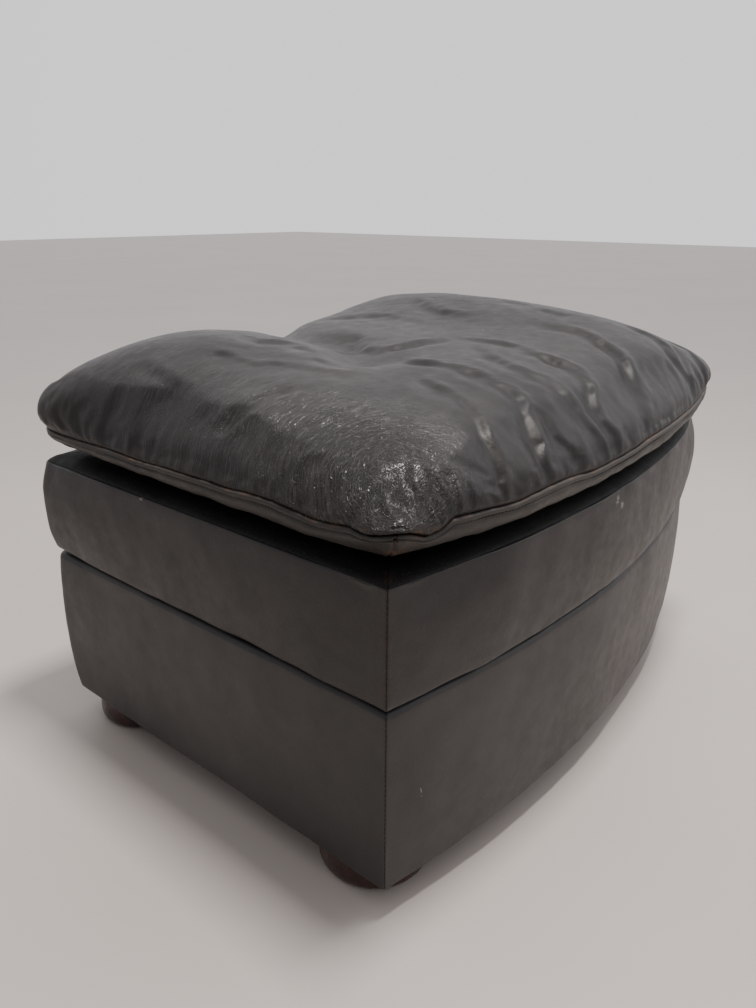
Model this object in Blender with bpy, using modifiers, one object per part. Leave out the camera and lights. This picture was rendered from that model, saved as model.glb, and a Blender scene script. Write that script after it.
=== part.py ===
"""An upholstered storage ottoman: a leather box on bun feet, under a hinged lid that carries a cushion."""

import math
from collections import namedtuple

import bmesh
import bpy
from mathutils import Matrix, Vector

# Driving dimensions, in metres.
CLEARANCE = 0.0003  # left between pieces that touch
BODY_WIDTH = 0.716  # across the leather sides of the box
BODY_DEPTH = 0.522  # from the back face to the front corners
FRONT_BOW = 0.046  # how far the middle of the front stands before its corners
BOX_BOTTOM = 0.037
BOX_HEIGHT = 0.1942
TIER_GAP = 0.004  # between the box and the lid, where the hinge leaves lie
LID_HEIGHT = 0.1168  # up to the seam round the top cover
LID_OVERHANG = 0.004  # at the sides and the front

LEATHER = 0.002
WRAP_PADDING = 0.006  # the foam between the leather and the wood
WALL = 0.015
LINING = 0.001
FLOOR_BOARD = 0.009
DUST_COVER = 0.0008

DECK_BOARD = 0.012
DECK_PAD_EDGE = 0.003  # the deck padding's thickness at its edge
DECK_RISE = 0.008  # of the padded top cover inside its edge
DECK_SLOPE = 0.017  # how far in from the edge it has risen

SEAM_HEIGHT = 0.037  # of the cushion's boxing
SEAM_PROUD_SIDE = 0.003  # of the cushion's seam, past the lid
SEAM_PROUD_FRONT = 0.010
SEAM_BACK_INSET = 0.006
CUSHION_CROWN = 0.094  # above its seam
CUSHION_CORNER = 0.030
CORE_CLEARANCE = 0.0015
CROWN_REACH = 0.200  # how far in from its seam the cushion's top is level
CROWN_FULLNESS = 1.3  # more than 1 keeps the shoulders near the seam

FOOT_RADIUS = 0.056
FOOT_INSET = 0.063  # from the box's faces to the foot's centre
FOOT_SOCKET = 0.0043
GLIDE_RADIUS = 0.014
GLIDE_THICKNESS = 0.0022
GLIDE_NAIL = 0.0022
GLIDE_NAIL_LENGTH = 0.010
BOLT_RADIUS = 0.0038
FOOT_BLOCK_SIDE = 0.095
FOOT_BLOCK_THICKNESS = 0.018

HINGE_LENGTH = 0.072
HINGE_OFFSET = 0.190  # from the middle of the back to a hinge's middle
HINGE_LEAF = 0.0014
HINGE_LEAF_WIDTH = 0.022  # of the part that lies on the wood
KNUCKLE_RADIUS = 0.0030
PIN_RADIUS = 0.0014
PIN_BORE = 0.0019
PIN_HEAD = 0.0024
PIN_HEAD_THICKNESS = 0.0015

BUMPER_RADIUS = 0.006
BUMPER_INSET = 0.060  # behind the front corners

LID_OPENING = math.radians(75.0)
STRUT_ARM = 0.170  # from the hinge axis to each strut pivot
STRUT_BASE_ANGLE = math.radians(55.0)  # of the lower pivot, below the level of the hinge
STRUT_LID_ANGLE = math.radians(25.0)  # of the upper pivot, above it, with the lid shut
STRUT_STAND_OFF = 0.014  # from the lining to the strut's axis
TUBE_RADIUS = 0.0075
TUBE_BORE = 0.0060
ROD_RADIUS = 0.0030
PISTON_RADIUS = 0.0055
PISTON_LENGTH = 0.008
PISTON_SPARE = 0.002  # left beyond the piston at each end of its stroke
TUBE_FLOOR = 0.003
GLAND_LENGTH = 0.008
ROD_CLEARANCE = 0.0006
EYE_RADIUS = 0.0080
EYE_WIDTH = 0.008
STUD_RADIUS = 0.0040
STUD_CLEARANCE = 0.0006
STUD_HEAD = 0.0060
STUD_HEAD_THICKNESS = 0.0018
BRACKET_LENGTH = 0.036
BRACKET_WIDTH = 0.018
BRACKET_THICKNESS = 0.002

BOW_STEPS = 16
CROWN_STEPS = 6
CORNER_STEPS = 4
ROUND_STEPS = 24

# Places that follow from them. The origin is under the middle of the whole object's box.
BOX_TOP = BOX_BOTTOM + BOX_HEIGHT
LID_BOTTOM = BOX_TOP + TIER_GAP
LID_TOP = LID_BOTTOM + LID_HEIGHT
DECK_TOP = LID_TOP + DECK_RISE
SEAM_Z = DECK_TOP + SEAM_HEIGHT
HINGE_Z = BOX_TOP + TIER_GAP / 2
HINGE_PROUD = KNUCKLE_RADIUS + 2 * CLEARANCE  # of the hinge axis, behind the back faces
WHOLE_DEPTH = BODY_DEPTH + FRONT_BOW + LID_OVERHANG + SEAM_PROUD_FRONT + HINGE_PROUD + KNUCKLE_RADIUS
BACK_Y = WHOLE_DEPTH / 2 - HINGE_PROUD - KNUCKLE_RADIUS
HINGE_Y = BACK_Y + HINGE_PROUD
BOW_RADIUS = ((BODY_WIDTH / 2) ** 2 + FRONT_BOW**2) / (2 * FRONT_BOW)
BOW_CENTRE_Y = BACK_Y - BODY_DEPTH - FRONT_BOW + BOW_RADIUS

WOOD_INSET = LEATHER + WRAP_PADDING + 2 * CLEARANCE
LINING_INSET = WOOD_INSET + WALL + CLEARANCE
WOOD_BOTTOM = BOX_BOTTOM + DUST_COVER + CLEARANCE
FLOOR_BOTTOM = WOOD_BOTTOM + FOOT_BLOCK_THICKNESS + CLEARANCE
FLOOR_TOP = FLOOR_BOTTOM + FLOOR_BOARD


class Plan(namedtuple("Plan", "half_width back_y bow_radius")):
    """A straight back and sides with a bowed front, seen from above."""

    def inset(self, distance):
        return Plan(self.half_width - distance, self.back_y - distance, self.bow_radius - distance)

    def bow_y(self, x):
        return BOW_CENTRE_Y - math.sqrt(self.bow_radius**2 - x * x)

    def front_y(self):
        """The depth of the front corners."""
        return self.bow_y(self.half_width)

    def bow(self, half_width):
        """Points along the bowed front, from left to right."""
        end = math.asin(half_width / self.bow_radius)
        turns = [end * (2 * step / BOW_STEPS - 1) for step in range(BOW_STEPS + 1)]
        radius = self.bow_radius
        return [(radius * math.sin(turn), BOW_CENTRE_Y - radius * math.cos(turn)) for turn in turns]

    def outline(self, corner=0.0):
        """The whole outline, anticlockwise from the front left corner."""
        if not corner:
            back = [(self.half_width, self.back_y), (-self.half_width, self.back_y)]
            return self.bow(self.half_width) + back
        inner = self.inset(corner)
        lean = math.asin(inner.half_width / inner.bow_radius)
        centre = (inner.half_width, inner.front_y())
        front_right = arc(centre, corner, lean - math.pi / 2, 0.0)
        back_right = arc((inner.half_width, inner.back_y), corner, 0.0, math.pi / 2)
        right = front_right + back_right
        left = [(-x, y) for x, y in reversed(right)]
        middle = self.bow(self.bow_radius * math.sin(lean))[1:-1]
        return middle + right + left


def arc(centre, radius, start, end):
    """Points on an arc, both ends included."""
    turns = [start + (end - start) * step / CORNER_STEPS for step in range(CORNER_STEPS + 1)]
    return [(centre[0] + radius * math.cos(a), centre[1] + radius * math.sin(a)) for a in turns]


BOX_PLAN = Plan(BODY_WIDTH / 2, BACK_Y, BOW_RADIUS)
LID_PLAN = Plan(BODY_WIDTH / 2 + LID_OVERHANG, BACK_Y, BOW_RADIUS + LID_OVERHANG)
SEAM_PLAN = Plan(
    LID_PLAN.half_width + SEAM_PROUD_SIDE,
    BACK_Y - SEAM_BACK_INSET,
    LID_PLAN.bow_radius + SEAM_PROUD_FRONT,
)
BOXING_FOOT_PLAN = LID_PLAN.inset(DECK_SLOPE)


def new_collection(name):
    collection = bpy.data.collections.new(name)
    bpy.context.scene.collection.children.link(collection)
    return collection


for old in list(bpy.data.objects):
    bpy.data.objects.remove(old)

PIECES = new_collection("storage_ottoman")
CUTTERS = new_collection("cutters")


def finish(name, colour, roughness, metallic=0.0):
    """A material of one colour, given as linear red, green and blue."""
    material = bpy.data.materials.new(name)
    material.use_nodes = True
    shader = material.node_tree.nodes["Principled BSDF"]
    shader.inputs["Base Color"].default_value = (*colour, 1.0)
    shader.inputs["Roughness"].default_value = roughness
    shader.inputs["Metallic"].default_value = metallic
    material.diffuse_color = (*colour, 1.0)
    return material


LEATHER_LOOK = ((0.022, 0.017, 0.013), 0.42)
FOAM_LOOK = ((0.72, 0.66, 0.44), 0.95)
PLY_LOOK = ((0.52, 0.36, 0.20), 0.65)
CLOTH_LOOK = ((0.030, 0.028, 0.026), 0.90)
STAIN_LOOK = ((0.055, 0.018, 0.010), 0.35)
STEEL_LOOK = ((0.58, 0.57, 0.55), 0.32, 1.0)
BLACK_STEEL_LOOK = ((0.020, 0.020, 0.022), 0.35, 0.6)
NYLON_LOOK = ((0.60, 0.58, 0.52), 0.50)
RUBBER_LOOK = ((0.015, 0.015, 0.015), 0.80)


def place(name, data, look, location=(0.0, 0.0, 0.0)):
    """An object among the pieces, with a material of its own."""
    piece = bpy.data.objects.new(name, data)
    piece.location = location
    data.materials.append(finish(name, *look))
    PIECES.objects.link(piece)
    return piece


def place_cutter(name, data, location=(0.0, 0.0, 0.0)):
    cutter = bpy.data.objects.new(name, data)
    cutter.location = location
    cutter.hide_render = True
    cutter.display_type = "WIRE"
    CUTTERS.objects.link(cutter)
    return cutter


def boolean(piece, other, operation):
    change = piece.modifiers.new(other.name, "BOOLEAN")
    change.operation = operation
    change.solver = "EXACT"
    change.object = other


def flat_curve(name, loops, thickness):
    """A sheet cut to closed outlines, the inner ones being holes."""
    curve = bpy.data.curves.new(name, "CURVE")
    curve.dimensions = "2D"
    curve.fill_mode = "BOTH"
    curve.extrude = thickness / 2
    for loop in loops:
        spline = curve.splines.new("POLY")
        spline.points.add(len(loop) - 1)
        for point, (x, y) in zip(spline.points, loop):
            point.co = (x, y, 0.0, 1.0)
        spline.use_cyclic_u = True
    return curve


def slab(name, loops, bottom, top, look):
    return place(name, flat_curve(name, loops, top - bottom), look, (0.0, 0.0, (bottom + top) / 2))


def loft(name, loops, look, ring=False):
    """A skin over outlines of as many points, closed by end faces, or into a ring."""
    shape = bmesh.new()
    rows = [[shape.verts.new(point) for point in loop] for loop in loops]
    pairs = list(zip(rows, rows[1:]))
    if ring:
        pairs.append((rows[-1], rows[0]))
    for low, high in pairs:
        for step in range(len(low)):
            near = step - 1
            shape.faces.new((low[near], low[step], high[step], high[near]))
    if not ring:
        shape.faces.new(rows[0])
        shape.faces.new(rows[-1])
    bmesh.ops.recalc_face_normals(shape, faces=shape.faces)
    mesh = bpy.data.meshes.new(name)
    shape.to_mesh(mesh)
    shape.free()
    return place(name, mesh, look)


def level(outline, z):
    return [(x, y, z) for x, y in outline]


def box_mesh(name, low, high):
    shape = bmesh.new()
    bmesh.ops.create_cube(shape, size=1.0)
    size = [b - a for a, b in zip(low, high)]
    middle = [(a + b) / 2 for a, b in zip(low, high)]
    bmesh.ops.scale(shape, vec=size, verts=shape.verts)
    bmesh.ops.translate(shape, vec=middle, verts=shape.verts)
    mesh = bpy.data.meshes.new(name)
    shape.to_mesh(mesh)
    shape.free()
    return mesh


def rod_mesh(name, radius, start, end, steps=ROUND_STEPS):
    """A cylinder along X between two x values."""
    shape = bmesh.new()
    bmesh.ops.create_cone(
        shape,
        cap_ends=True,
        segments=steps,
        radius1=radius,
        radius2=radius,
        depth=end - start,
        matrix=Matrix.Translation(((start + end) / 2, 0.0, 0.0)) @ Matrix.Rotation(math.pi / 2, 4, "Y"),
    )
    mesh = bpy.data.meshes.new(name)
    shape.to_mesh(mesh)
    shape.free()
    mesh.shade_smooth()
    mesh.set_sharp_from_angle(angle=math.radians(40.0))
    return mesh


def turned(name, profile, look, location, steps=ROUND_STEPS, closed=False):
    """A profile of radius and height, turned round the object's own Z axis."""
    mesh = bpy.data.meshes.new(name)
    count = len(profile)
    edges = [(step, step + 1) for step in range(count - 1)]
    if closed:
        edges.append((count - 1, 0))
    mesh.from_pydata([(radius, 0.0, z) for radius, z in profile], edges, [])
    piece = place(name, mesh, look, location)
    screw = piece.modifiers.new("turn", "SCREW")
    screw.steps = steps
    screw.render_steps = steps
    screw.use_merge_vertices = True
    screw.merge_threshold = 0.00001
    screw.use_smooth_shade = False
    return piece


def mitred_skin(prefix, plan, thickness, bottom, top, look):
    """Four panels round a plan, sewn where their ends meet at the corners."""
    inner = plan.inset(thickness)
    front = plan.bow(plan.half_width - CLEARANCE) + list(reversed(inner.bow(inner.half_width - CLEARANCE)))
    slab(f"{prefix}_front_cover", [front], bottom, top, look)
    back = [
        (-plan.half_width + CLEARANCE, plan.back_y),
        (-inner.half_width + CLEARANCE, inner.back_y),
        (inner.half_width - CLEARANCE, inner.back_y),
        (plan.half_width - CLEARANCE, plan.back_y),
    ]
    slab(f"{prefix}_back_cover", [back], bottom, top, look)
    for side, name in ((-1, "left"), (1, "right")):
        panel = [
            (side * plan.half_width, plan.front_y() + CLEARANCE),
            (side * plan.half_width, plan.back_y - CLEARANCE),
            (side * inner.half_width, inner.back_y - CLEARANCE),
            (side * inner.half_width, inner.front_y() + CLEARANCE),
        ]
        slab(f"{prefix}_{name}_cover", [panel], bottom, top, look)


def wooden_walls(names, plan, bottom, top):
    """Front, back, left and right boards: the side boards run through and the others stand between."""
    inner = plan.inset(WALL)
    between = inner.half_width - CLEARANCE
    front = plan.bow(between) + list(reversed(inner.bow(between)))
    slab(names[0], [front], bottom, top, PLY_LOOK)
    back = [
        (-between, inner.back_y),
        (between, inner.back_y),
        (between, plan.back_y),
        (-between, plan.back_y),
    ]
    slab(names[1], [back], bottom, top, PLY_LOOK)
    for side, name in ((-1, names[2]), (1, names[3])):
        board = [
            (side * plan.half_width, plan.front_y()),
            (side * plan.half_width, plan.back_y),
            (side * inner.half_width, plan.back_y),
            (side * inner.half_width, plan.front_y()),
        ]
        slab(name, [board], bottom, top, PLY_LOOK)


def padding_wrap(name, plan, bottom, top):
    """The foam wrapped round the wood, just inside the leather."""
    outer = plan.inset(LEATHER + CLEARANCE)
    loops = [outer.outline(), outer.inset(WRAP_PADDING).outline()]
    slab(name, loops, bottom, top, FOAM_LOOK)


def lining_tray(name, plan, closed_z, open_z):
    """Lining cloth on the inside of the walls and across one end."""
    outer = plan.inset(LINING_INSET)
    inner = outer.inset(LINING)
    inner_z = closed_z + math.copysign(LINING, open_z - closed_z)
    loops = [
        level(outer.outline(), closed_z),
        level(outer.outline(), open_z),
        level(inner.outline(), open_z),
        level(inner.outline(), inner_z),
    ]
    loft(name, loops, CLOTH_LOOK)


def circle(centre, radius, steps=ROUND_STEPS):
    turns = [2 * math.pi * step / steps for step in range(steps)]
    return [(centre[0] + radius * math.cos(a), centre[1] + radius * math.sin(a)) for a in turns]


def corners(plan):
    """The four corners of a plan, by name."""
    return {
        "front_left": (-plan.half_width, plan.front_y()),
        "front_right": (plan.half_width, plan.front_y()),
        "back_left": (-plan.half_width, plan.back_y),
        "back_right": (plan.half_width, plan.back_y),
    }


def toward_middle(corner, distance):
    """A point square in from a corner, along X and along Y."""
    x, y = corner
    return (x - math.copysign(distance, x), y - math.copysign(distance, y))


def foot_places():
    return {name: toward_middle(corner, FOOT_INSET) for name, corner in corners(BOX_PLAN).items()}


def make_box():
    """The storage box: four walls, padding, leather, floor and linings."""
    wood = BOX_PLAN.inset(WOOD_INSET)
    names = ("box_front_board", "box_back_board", "box_left_board", "box_right_board")
    wooden_walls(names, wood, WOOD_BOTTOM, BOX_TOP)
    padding_wrap("box_padding", BOX_PLAN, WOOD_BOTTOM, BOX_TOP)
    mitred_skin("box", BOX_PLAN, LEATHER, BOX_BOTTOM, BOX_TOP, LEATHER_LOOK)
    floor = wood.inset(WALL + CLEARANCE)
    slab("storage_floor", [floor.outline()], FLOOR_BOTTOM, FLOOR_TOP, PLY_LOOK)
    lining_tray("storage_lining", BOX_PLAN, FLOOR_TOP + CLEARANCE, BOX_TOP)
    under = BOX_PLAN.inset(LEATHER + CLEARANCE)
    holes = [circle(centre, BOLT_RADIUS + CLEARANCE) for centre in foot_places().values()]
    slab("dust_cover", [under.outline(), *holes], BOX_BOTTOM, BOX_BOTTOM + DUST_COVER, CLOTH_LOOK)


def make_feet():
    """Turned bun feet, each on a bolt up into a block in its corner, with a nailed glide below."""
    top = BOX_BOTTOM - CLEARANCE
    bottom = GLIDE_THICKNESS + CLEARANCE
    tall = top - bottom
    socket = FOOT_SOCKET
    bun = [
        (socket, top),
        (FOOT_RADIUS * 0.84, top),
        (FOOT_RADIUS * 0.93, top - tall * 0.10),
        (FOOT_RADIUS * 0.97, top - tall * 0.28),
        (FOOT_RADIUS * 0.99, top - tall * 0.48),
        (FOOT_RADIUS, top - tall * 0.68),
        (FOOT_RADIUS, top - tall * 0.82),
        (FOOT_RADIUS * 0.98, top - tall * 0.93),
        (FOOT_RADIUS * 0.93, bottom),
        (socket, bottom),
    ]
    nail_top = bottom + GLIDE_NAIL_LENGTH
    glide = [
        (0.0, nail_top),
        (GLIDE_NAIL, nail_top),
        (GLIDE_NAIL, GLIDE_THICKNESS),
        (GLIDE_RADIUS, GLIDE_THICKNESS),
        (GLIDE_RADIUS, 0.0),
        (0.0, 0.0),
    ]
    bolt_bottom = nail_top + 2 * CLEARANCE
    bolt_top = FLOOR_BOTTOM - CLEARANCE
    bolt = [(0.0, bolt_top), (BOLT_RADIUS, bolt_top), (BOLT_RADIUS, bolt_bottom), (0.0, bolt_bottom)]
    block_corners = corners(BOX_PLAN.inset(WOOD_INSET + WALL + CLEARANCE))
    block_top = WOOD_BOTTOM + FOOT_BLOCK_THICKNESS
    for name, centre in foot_places().items():
        foot = (*centre, 0.0)
        turned(f"bun_foot_{name}", bun, STAIN_LOOK, foot, closed=True)
        turned(f"foot_glide_{name}", glide, NYLON_LOOK, foot, steps=16)
        turned(f"foot_bolt_{name}", bolt, STEEL_LOOK, foot, steps=12)
        outer = block_corners[name]
        inner = toward_middle(outer, FOOT_BLOCK_SIDE)
        square = [outer, (inner[0], outer[1]), inner, (outer[0], inner[1])]
        hole = circle(centre, BOLT_RADIUS + CLEARANCE)
        slab(f"foot_block_{name}", [square, hole], WOOD_BOTTOM, block_top, PLY_LOOK)


def make_lid():
    """The lid: rails and a deck, padded and covered, hollow and lined beneath."""
    wood = LID_PLAN.inset(WOOD_INSET)
    band_top = LID_TOP - LEATHER - CLEARANCE
    deck_top = band_top - DECK_PAD_EDGE
    rail_top = deck_top - DECK_BOARD - CLEARANCE
    names = ("lid_front_rail", "lid_back_rail", "lid_left_rail", "lid_right_rail")
    wooden_walls(names, wood, LID_BOTTOM, rail_top)
    slab("lid_deck", [wood.outline()], rail_top + CLEARANCE, deck_top, PLY_LOOK)
    padding_wrap("lid_band_padding", LID_PLAN, LID_BOTTOM, deck_top)
    mitred_skin("lid", LID_PLAN, LEATHER, LID_BOTTOM, band_top, LEATHER_LOOK)
    lining_tray("lid_lining", LID_PLAN, rail_top - CLEARANCE, LID_BOTTOM)

    raised = LID_PLAN.inset(DECK_SLOPE)
    drop = LEATHER * math.hypot(DECK_RISE, DECK_SLOPE) / DECK_SLOPE
    under_edge = LID_PLAN.inset(LEATHER)
    edge_rise = DECK_RISE * LEATHER / DECK_SLOPE
    cover = [
        level(raised.outline(), DECK_TOP - drop),
        level(under_edge.outline(), LID_TOP + edge_rise - drop),
        level(LID_PLAN.outline(), LID_TOP - LEATHER),
        level(LID_PLAN.outline(), LID_TOP),
        level(raised.outline(), DECK_TOP),
    ]
    loft("lid_top_cover", cover, LEATHER_LOOK)
    pad_edge = LID_PLAN.inset(LEATHER + CLEARANCE)
    below = drop + 2 * CLEARANCE
    pad = [
        level(pad_edge.outline(), deck_top + CLEARANCE),
        level(pad_edge.outline(), LID_TOP + edge_rise - below),
        level(raised.outline(), DECK_TOP - below),
    ]
    loft("lid_deck_padding", pad, FOAM_LOOK)


def crown_loops(plan, corner, foot_z, crown):
    """Outlines that close in as they climb, from a seam to near the middle of a crowned top."""
    loops = []
    for step in range(CROWN_STEPS + 1):
        turn = step / CROWN_STEPS * math.pi / 2
        distance = CROWN_REACH * (1 - math.cos(turn)) ** CROWN_FULLNESS
        ring = plan.inset(distance).outline(corner)
        loops.append(level(ring, foot_z + crown * math.sin(turn)))
    return loops


def make_cushion():
    """The cushion fixed to the lid: a boxing strip, a crowned top panel and a foam core."""
    boxing_foot = DECK_TOP + CLEARANCE
    boxing_top = SEAM_Z - CLEARANCE
    foot_inner = BOXING_FOOT_PLAN.inset(LEATHER)
    seam_inner = SEAM_PLAN.inset(LEATHER)
    inner_corner = CUSHION_CORNER - LEATHER
    boxing = [
        level(BOXING_FOOT_PLAN.outline(CUSHION_CORNER), boxing_foot),
        level(SEAM_PLAN.outline(CUSHION_CORNER), boxing_top),
        level(seam_inner.outline(inner_corner), boxing_top),
        level(foot_inner.outline(inner_corner), boxing_foot),
    ]
    loft("cushion_boxing", boxing, LEATHER_LOOK, ring=True)
    outer = crown_loops(SEAM_PLAN, CUSHION_CORNER, SEAM_Z, CUSHION_CROWN)
    inner = crown_loops(seam_inner, inner_corner, SEAM_Z, CUSHION_CROWN - LEATHER)
    loft("cushion_top", list(reversed(inner)) + outer, LEATHER_LOOK)
    core_plan = seam_inner.inset(CORE_CLEARANCE)
    core_corner = inner_corner - CORE_CLEARANCE
    core_crown = CUSHION_CROWN - LEATHER - CORE_CLEARANCE
    foot_plan = foot_inner.inset(CORE_CLEARANCE)
    core = [level(foot_plan.outline(core_corner), boxing_foot)]
    core += crown_loops(core_plan, core_corner, SEAM_Z, core_crown)
    loft("cushion_core", core, FOAM_LOOK)


def make_hinge(side, name):
    """Two leaves that lie in the gap under the lid, and the pin through their knuckles."""
    x = side * HINGE_OFFSET
    half = HINGE_LENGTH / 2
    knuckle = HINGE_LENGTH / 6  # half of the middle knuckle's length
    axis = (x, HINGE_Y, HINGE_Z)
    leaf_front = -(HINGE_PROUD + HINGE_LEAF_WIDTH)
    gap = CLEARANCE
    away = KNUCKLE_RADIUS + 2 * CLEARANCE

    past = half + HINGE_LEAF

    bore = place_cutter(f"bore_{name}", rod_mesh(f"bore_{name}", PIN_BORE, -past, past), axis)
    middle_mesh = box_mesh(f"middle_{name}", (-knuckle - gap, -away, -away), (knuckle + gap, away, away))
    middle = place_cutter(f"middle_{name}", middle_mesh, axis)
    ends = []
    for end in (-1, 1):
        near, far = end * knuckle, end * past
        label = f"end_{name}_{end + 1}"
        end_mesh = box_mesh(label, (min(near, far), -away, -away), (max(near, far), away, away))
        ends.append(place_cutter(label, end_mesh, axis))

    for above, owner, cutters in ((-1, "box", [middle]), (1, "lid", ends)):
        label = f"hinge_{owner}_leaf_{name}"
        barrel = rod_mesh(label, KNUCKLE_RADIUS, -half, half)
        leaf = place(label, barrel, STEEL_LOOK, axis)
        face = above * (TIER_GAP / 2 - CLEARANCE)
        inner_face = face - above * HINGE_LEAF
        plate_low = (-half, leaf_front, min(face, inner_face))
        plate_high = (half, -PIN_BORE, max(face, inner_face))
        plate = place_cutter(f"plate_{label}", box_mesh(f"plate_{label}", plate_low, plate_high), axis)
        boolean(leaf, plate, "UNION")
        boolean(leaf, bore, "DIFFERENCE")
        for cutter in cutters:
            boolean(leaf, cutter, "DIFFERENCE")

    pin_end = half + PIN_HEAD_THICKNESS / 2
    pin = place(f"hinge_pin_{name}", rod_mesh("pin", PIN_RADIUS, -pin_end, pin_end), STEEL_LOOK, axis)
    for end in (-1, 1):
        head_start = end * (half + gap)
        head_end = end * (half + PIN_HEAD_THICKNESS)
        label = f"pin_head_{name}_{end + 1}"
        head = rod_mesh(label, PIN_HEAD, min(head_start, head_end), max(head_start, head_end))
        boolean(pin, place_cutter(label, head, axis), "UNION")


def make_bumpers():
    """Rubber buttons on the side boards, which the shut lid rests on."""
    low = BOX_TOP + CLEARANCE
    high = LID_BOTTOM - CLEARANCE
    x = BOX_PLAN.half_width - WOOD_INSET - WALL / 2
    y = BOX_PLAN.front_y() + BUMPER_INSET
    button = [(0.0, high), (BUMPER_RADIUS, high), (BUMPER_RADIUS, low), (0.0, low)]
    for side, name in ((-1, "left"), (1, "right")):
        turned(f"lid_bumper_{name}", button, RUBBER_LOOK, (side * x, y, 0.0), steps=16)


def make_strut(side, name):
    """A gas strut between a stud on the box and a stud on the lid, both as far from the hinge axis."""
    lower = Vector((0.0, -STRUT_ARM * math.cos(STRUT_BASE_ANGLE), -STRUT_ARM * math.sin(STRUT_BASE_ANGLE)))
    upper = Vector((0.0, -STRUT_ARM * math.cos(STRUT_LID_ANGLE), STRUT_ARM * math.sin(STRUT_LID_ANGLE)))
    between = STRUT_BASE_ANGLE + STRUT_LID_ANGLE
    shut = 2 * STRUT_ARM * math.sin(between / 2)
    stroke = 2 * STRUT_ARM * math.sin((between + LID_OPENING) / 2) - shut
    tube_face = BOX_PLAN.half_width - LINING_INSET - LINING
    lid_face = LID_PLAN.half_width - LINING_INSET - LINING
    x = side * (tube_face - STRUT_STAND_OFF)
    hinge = Vector((x, HINGE_Y, HINGE_Z))
    lean = (upper - lower).to_track_quat("Z", "X").to_matrix().to_euler()
    neck = EYE_RADIUS * 0.7
    tube_start = STUD_HEAD + STUD_CLEARANCE
    cavity = tube_start + TUBE_FLOOR
    piston_low = cavity + PISTON_SPARE
    cavity_top = piston_low + stroke + PISTON_LENGTH + PISTON_SPARE
    tube_end = cavity_top + GLAND_LENGTH

    eye = EYE_WIDTH / 2
    bore_radius = STUD_RADIUS + STUD_CLEARANCE
    tube_profile = [
        (0.0, cavity),
        (TUBE_BORE, cavity),
        (TUBE_BORE, cavity_top),
        (ROD_RADIUS + ROD_CLEARANCE, cavity_top),
        (ROD_RADIUS + ROD_CLEARANCE, tube_end),
        (TUBE_RADIUS, tube_end),
        (TUBE_RADIUS, tube_start),
        (ROD_RADIUS, tube_start),
        (ROD_RADIUS, neck),
        (0.0, neck),
    ]
    rod_profile = [
        (0.0, -neck),
        (ROD_RADIUS, -neck),
        (ROD_RADIUS, piston_low + PISTON_LENGTH - shut),
        (PISTON_RADIUS, piston_low + PISTON_LENGTH - shut),
        (PISTON_RADIUS, piston_low - shut),
        (0.0, piston_low - shut),
    ]
    ends = (
        (f"strut_tube_{name}", tube_profile, hinge + lower, BLACK_STEEL_LOOK),
        (f"strut_rod_{name}", rod_profile, hinge + upper, STEEL_LOOK),
    )
    for label, profile, pivot, look in ends:
        piece = turned(label, profile, look, pivot)
        piece.rotation_euler = lean
        ring = rod_mesh(f"eye_{label}", EYE_RADIUS, -eye, eye)
        bore = rod_mesh(f"eye_bore_{label}", bore_radius, -2 * eye, 2 * eye)
        boolean(piece, place_cutter(f"eye_{label}", ring, pivot), "UNION")
        boolean(piece, place_cutter(f"eye_bore_{label}", bore, pivot), "DIFFERENCE")

    brackets = (
        (f"strut_box_bracket_{name}", tube_face, hinge + lower),
        (f"strut_lid_bracket_{name}", lid_face, hinge + upper),
    )
    for label, face, pivot in brackets:
        wall = side * face - x - side * CLEARANCE
        plate_inner = wall - side * BRACKET_THICKNESS
        low = (min(wall, plate_inner), -BRACKET_WIDTH / 2, -BRACKET_LENGTH / 2)
        high = (max(wall, plate_inner), BRACKET_WIDTH / 2, BRACKET_LENGTH / 2)
        bracket = place(label, box_mesh(label, low, high), STEEL_LOOK, pivot)
        root = wall - side * BRACKET_THICKNESS / 2
        head = -side * (eye + STUD_CLEARANCE)
        head_end = head - side * STUD_HEAD_THICKNESS
        tip = (head + head_end) / 2
        stud_mesh = rod_mesh(f"stud_{label}", STUD_RADIUS, min(root, tip), max(root, tip))
        head_mesh = rod_mesh(f"stud_head_{label}", STUD_HEAD, min(head, head_end), max(head, head_end))
        boolean(bracket, place_cutter(f"stud_{label}", stud_mesh, pivot), "UNION")
        boolean(bracket, place_cutter(f"stud_head_{label}", head_mesh, pivot), "UNION")


make_box()
make_feet()
make_lid()
make_cushion()
make_bumpers()
for hand, hand_name in ((-1, "left"), (1, "right")):
    make_hinge(hand, hand_name)
    make_strut(hand, hand_name)
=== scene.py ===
import math

import bmesh
import bpy
import numpy as np
from mathutils import Matrix, Vector, noise


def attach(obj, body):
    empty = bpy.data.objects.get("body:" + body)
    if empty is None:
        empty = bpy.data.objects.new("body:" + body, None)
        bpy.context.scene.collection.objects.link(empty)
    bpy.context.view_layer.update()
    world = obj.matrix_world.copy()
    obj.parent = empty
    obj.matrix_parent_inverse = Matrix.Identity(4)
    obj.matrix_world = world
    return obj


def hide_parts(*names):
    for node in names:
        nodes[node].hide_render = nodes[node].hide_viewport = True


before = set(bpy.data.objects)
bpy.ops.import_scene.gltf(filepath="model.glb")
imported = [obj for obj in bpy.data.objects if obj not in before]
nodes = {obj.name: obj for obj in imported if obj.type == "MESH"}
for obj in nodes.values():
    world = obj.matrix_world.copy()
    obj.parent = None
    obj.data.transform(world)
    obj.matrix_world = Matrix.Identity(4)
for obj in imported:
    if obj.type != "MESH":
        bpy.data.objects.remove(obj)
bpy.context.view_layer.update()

# places that several pieces share, in metres

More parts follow.
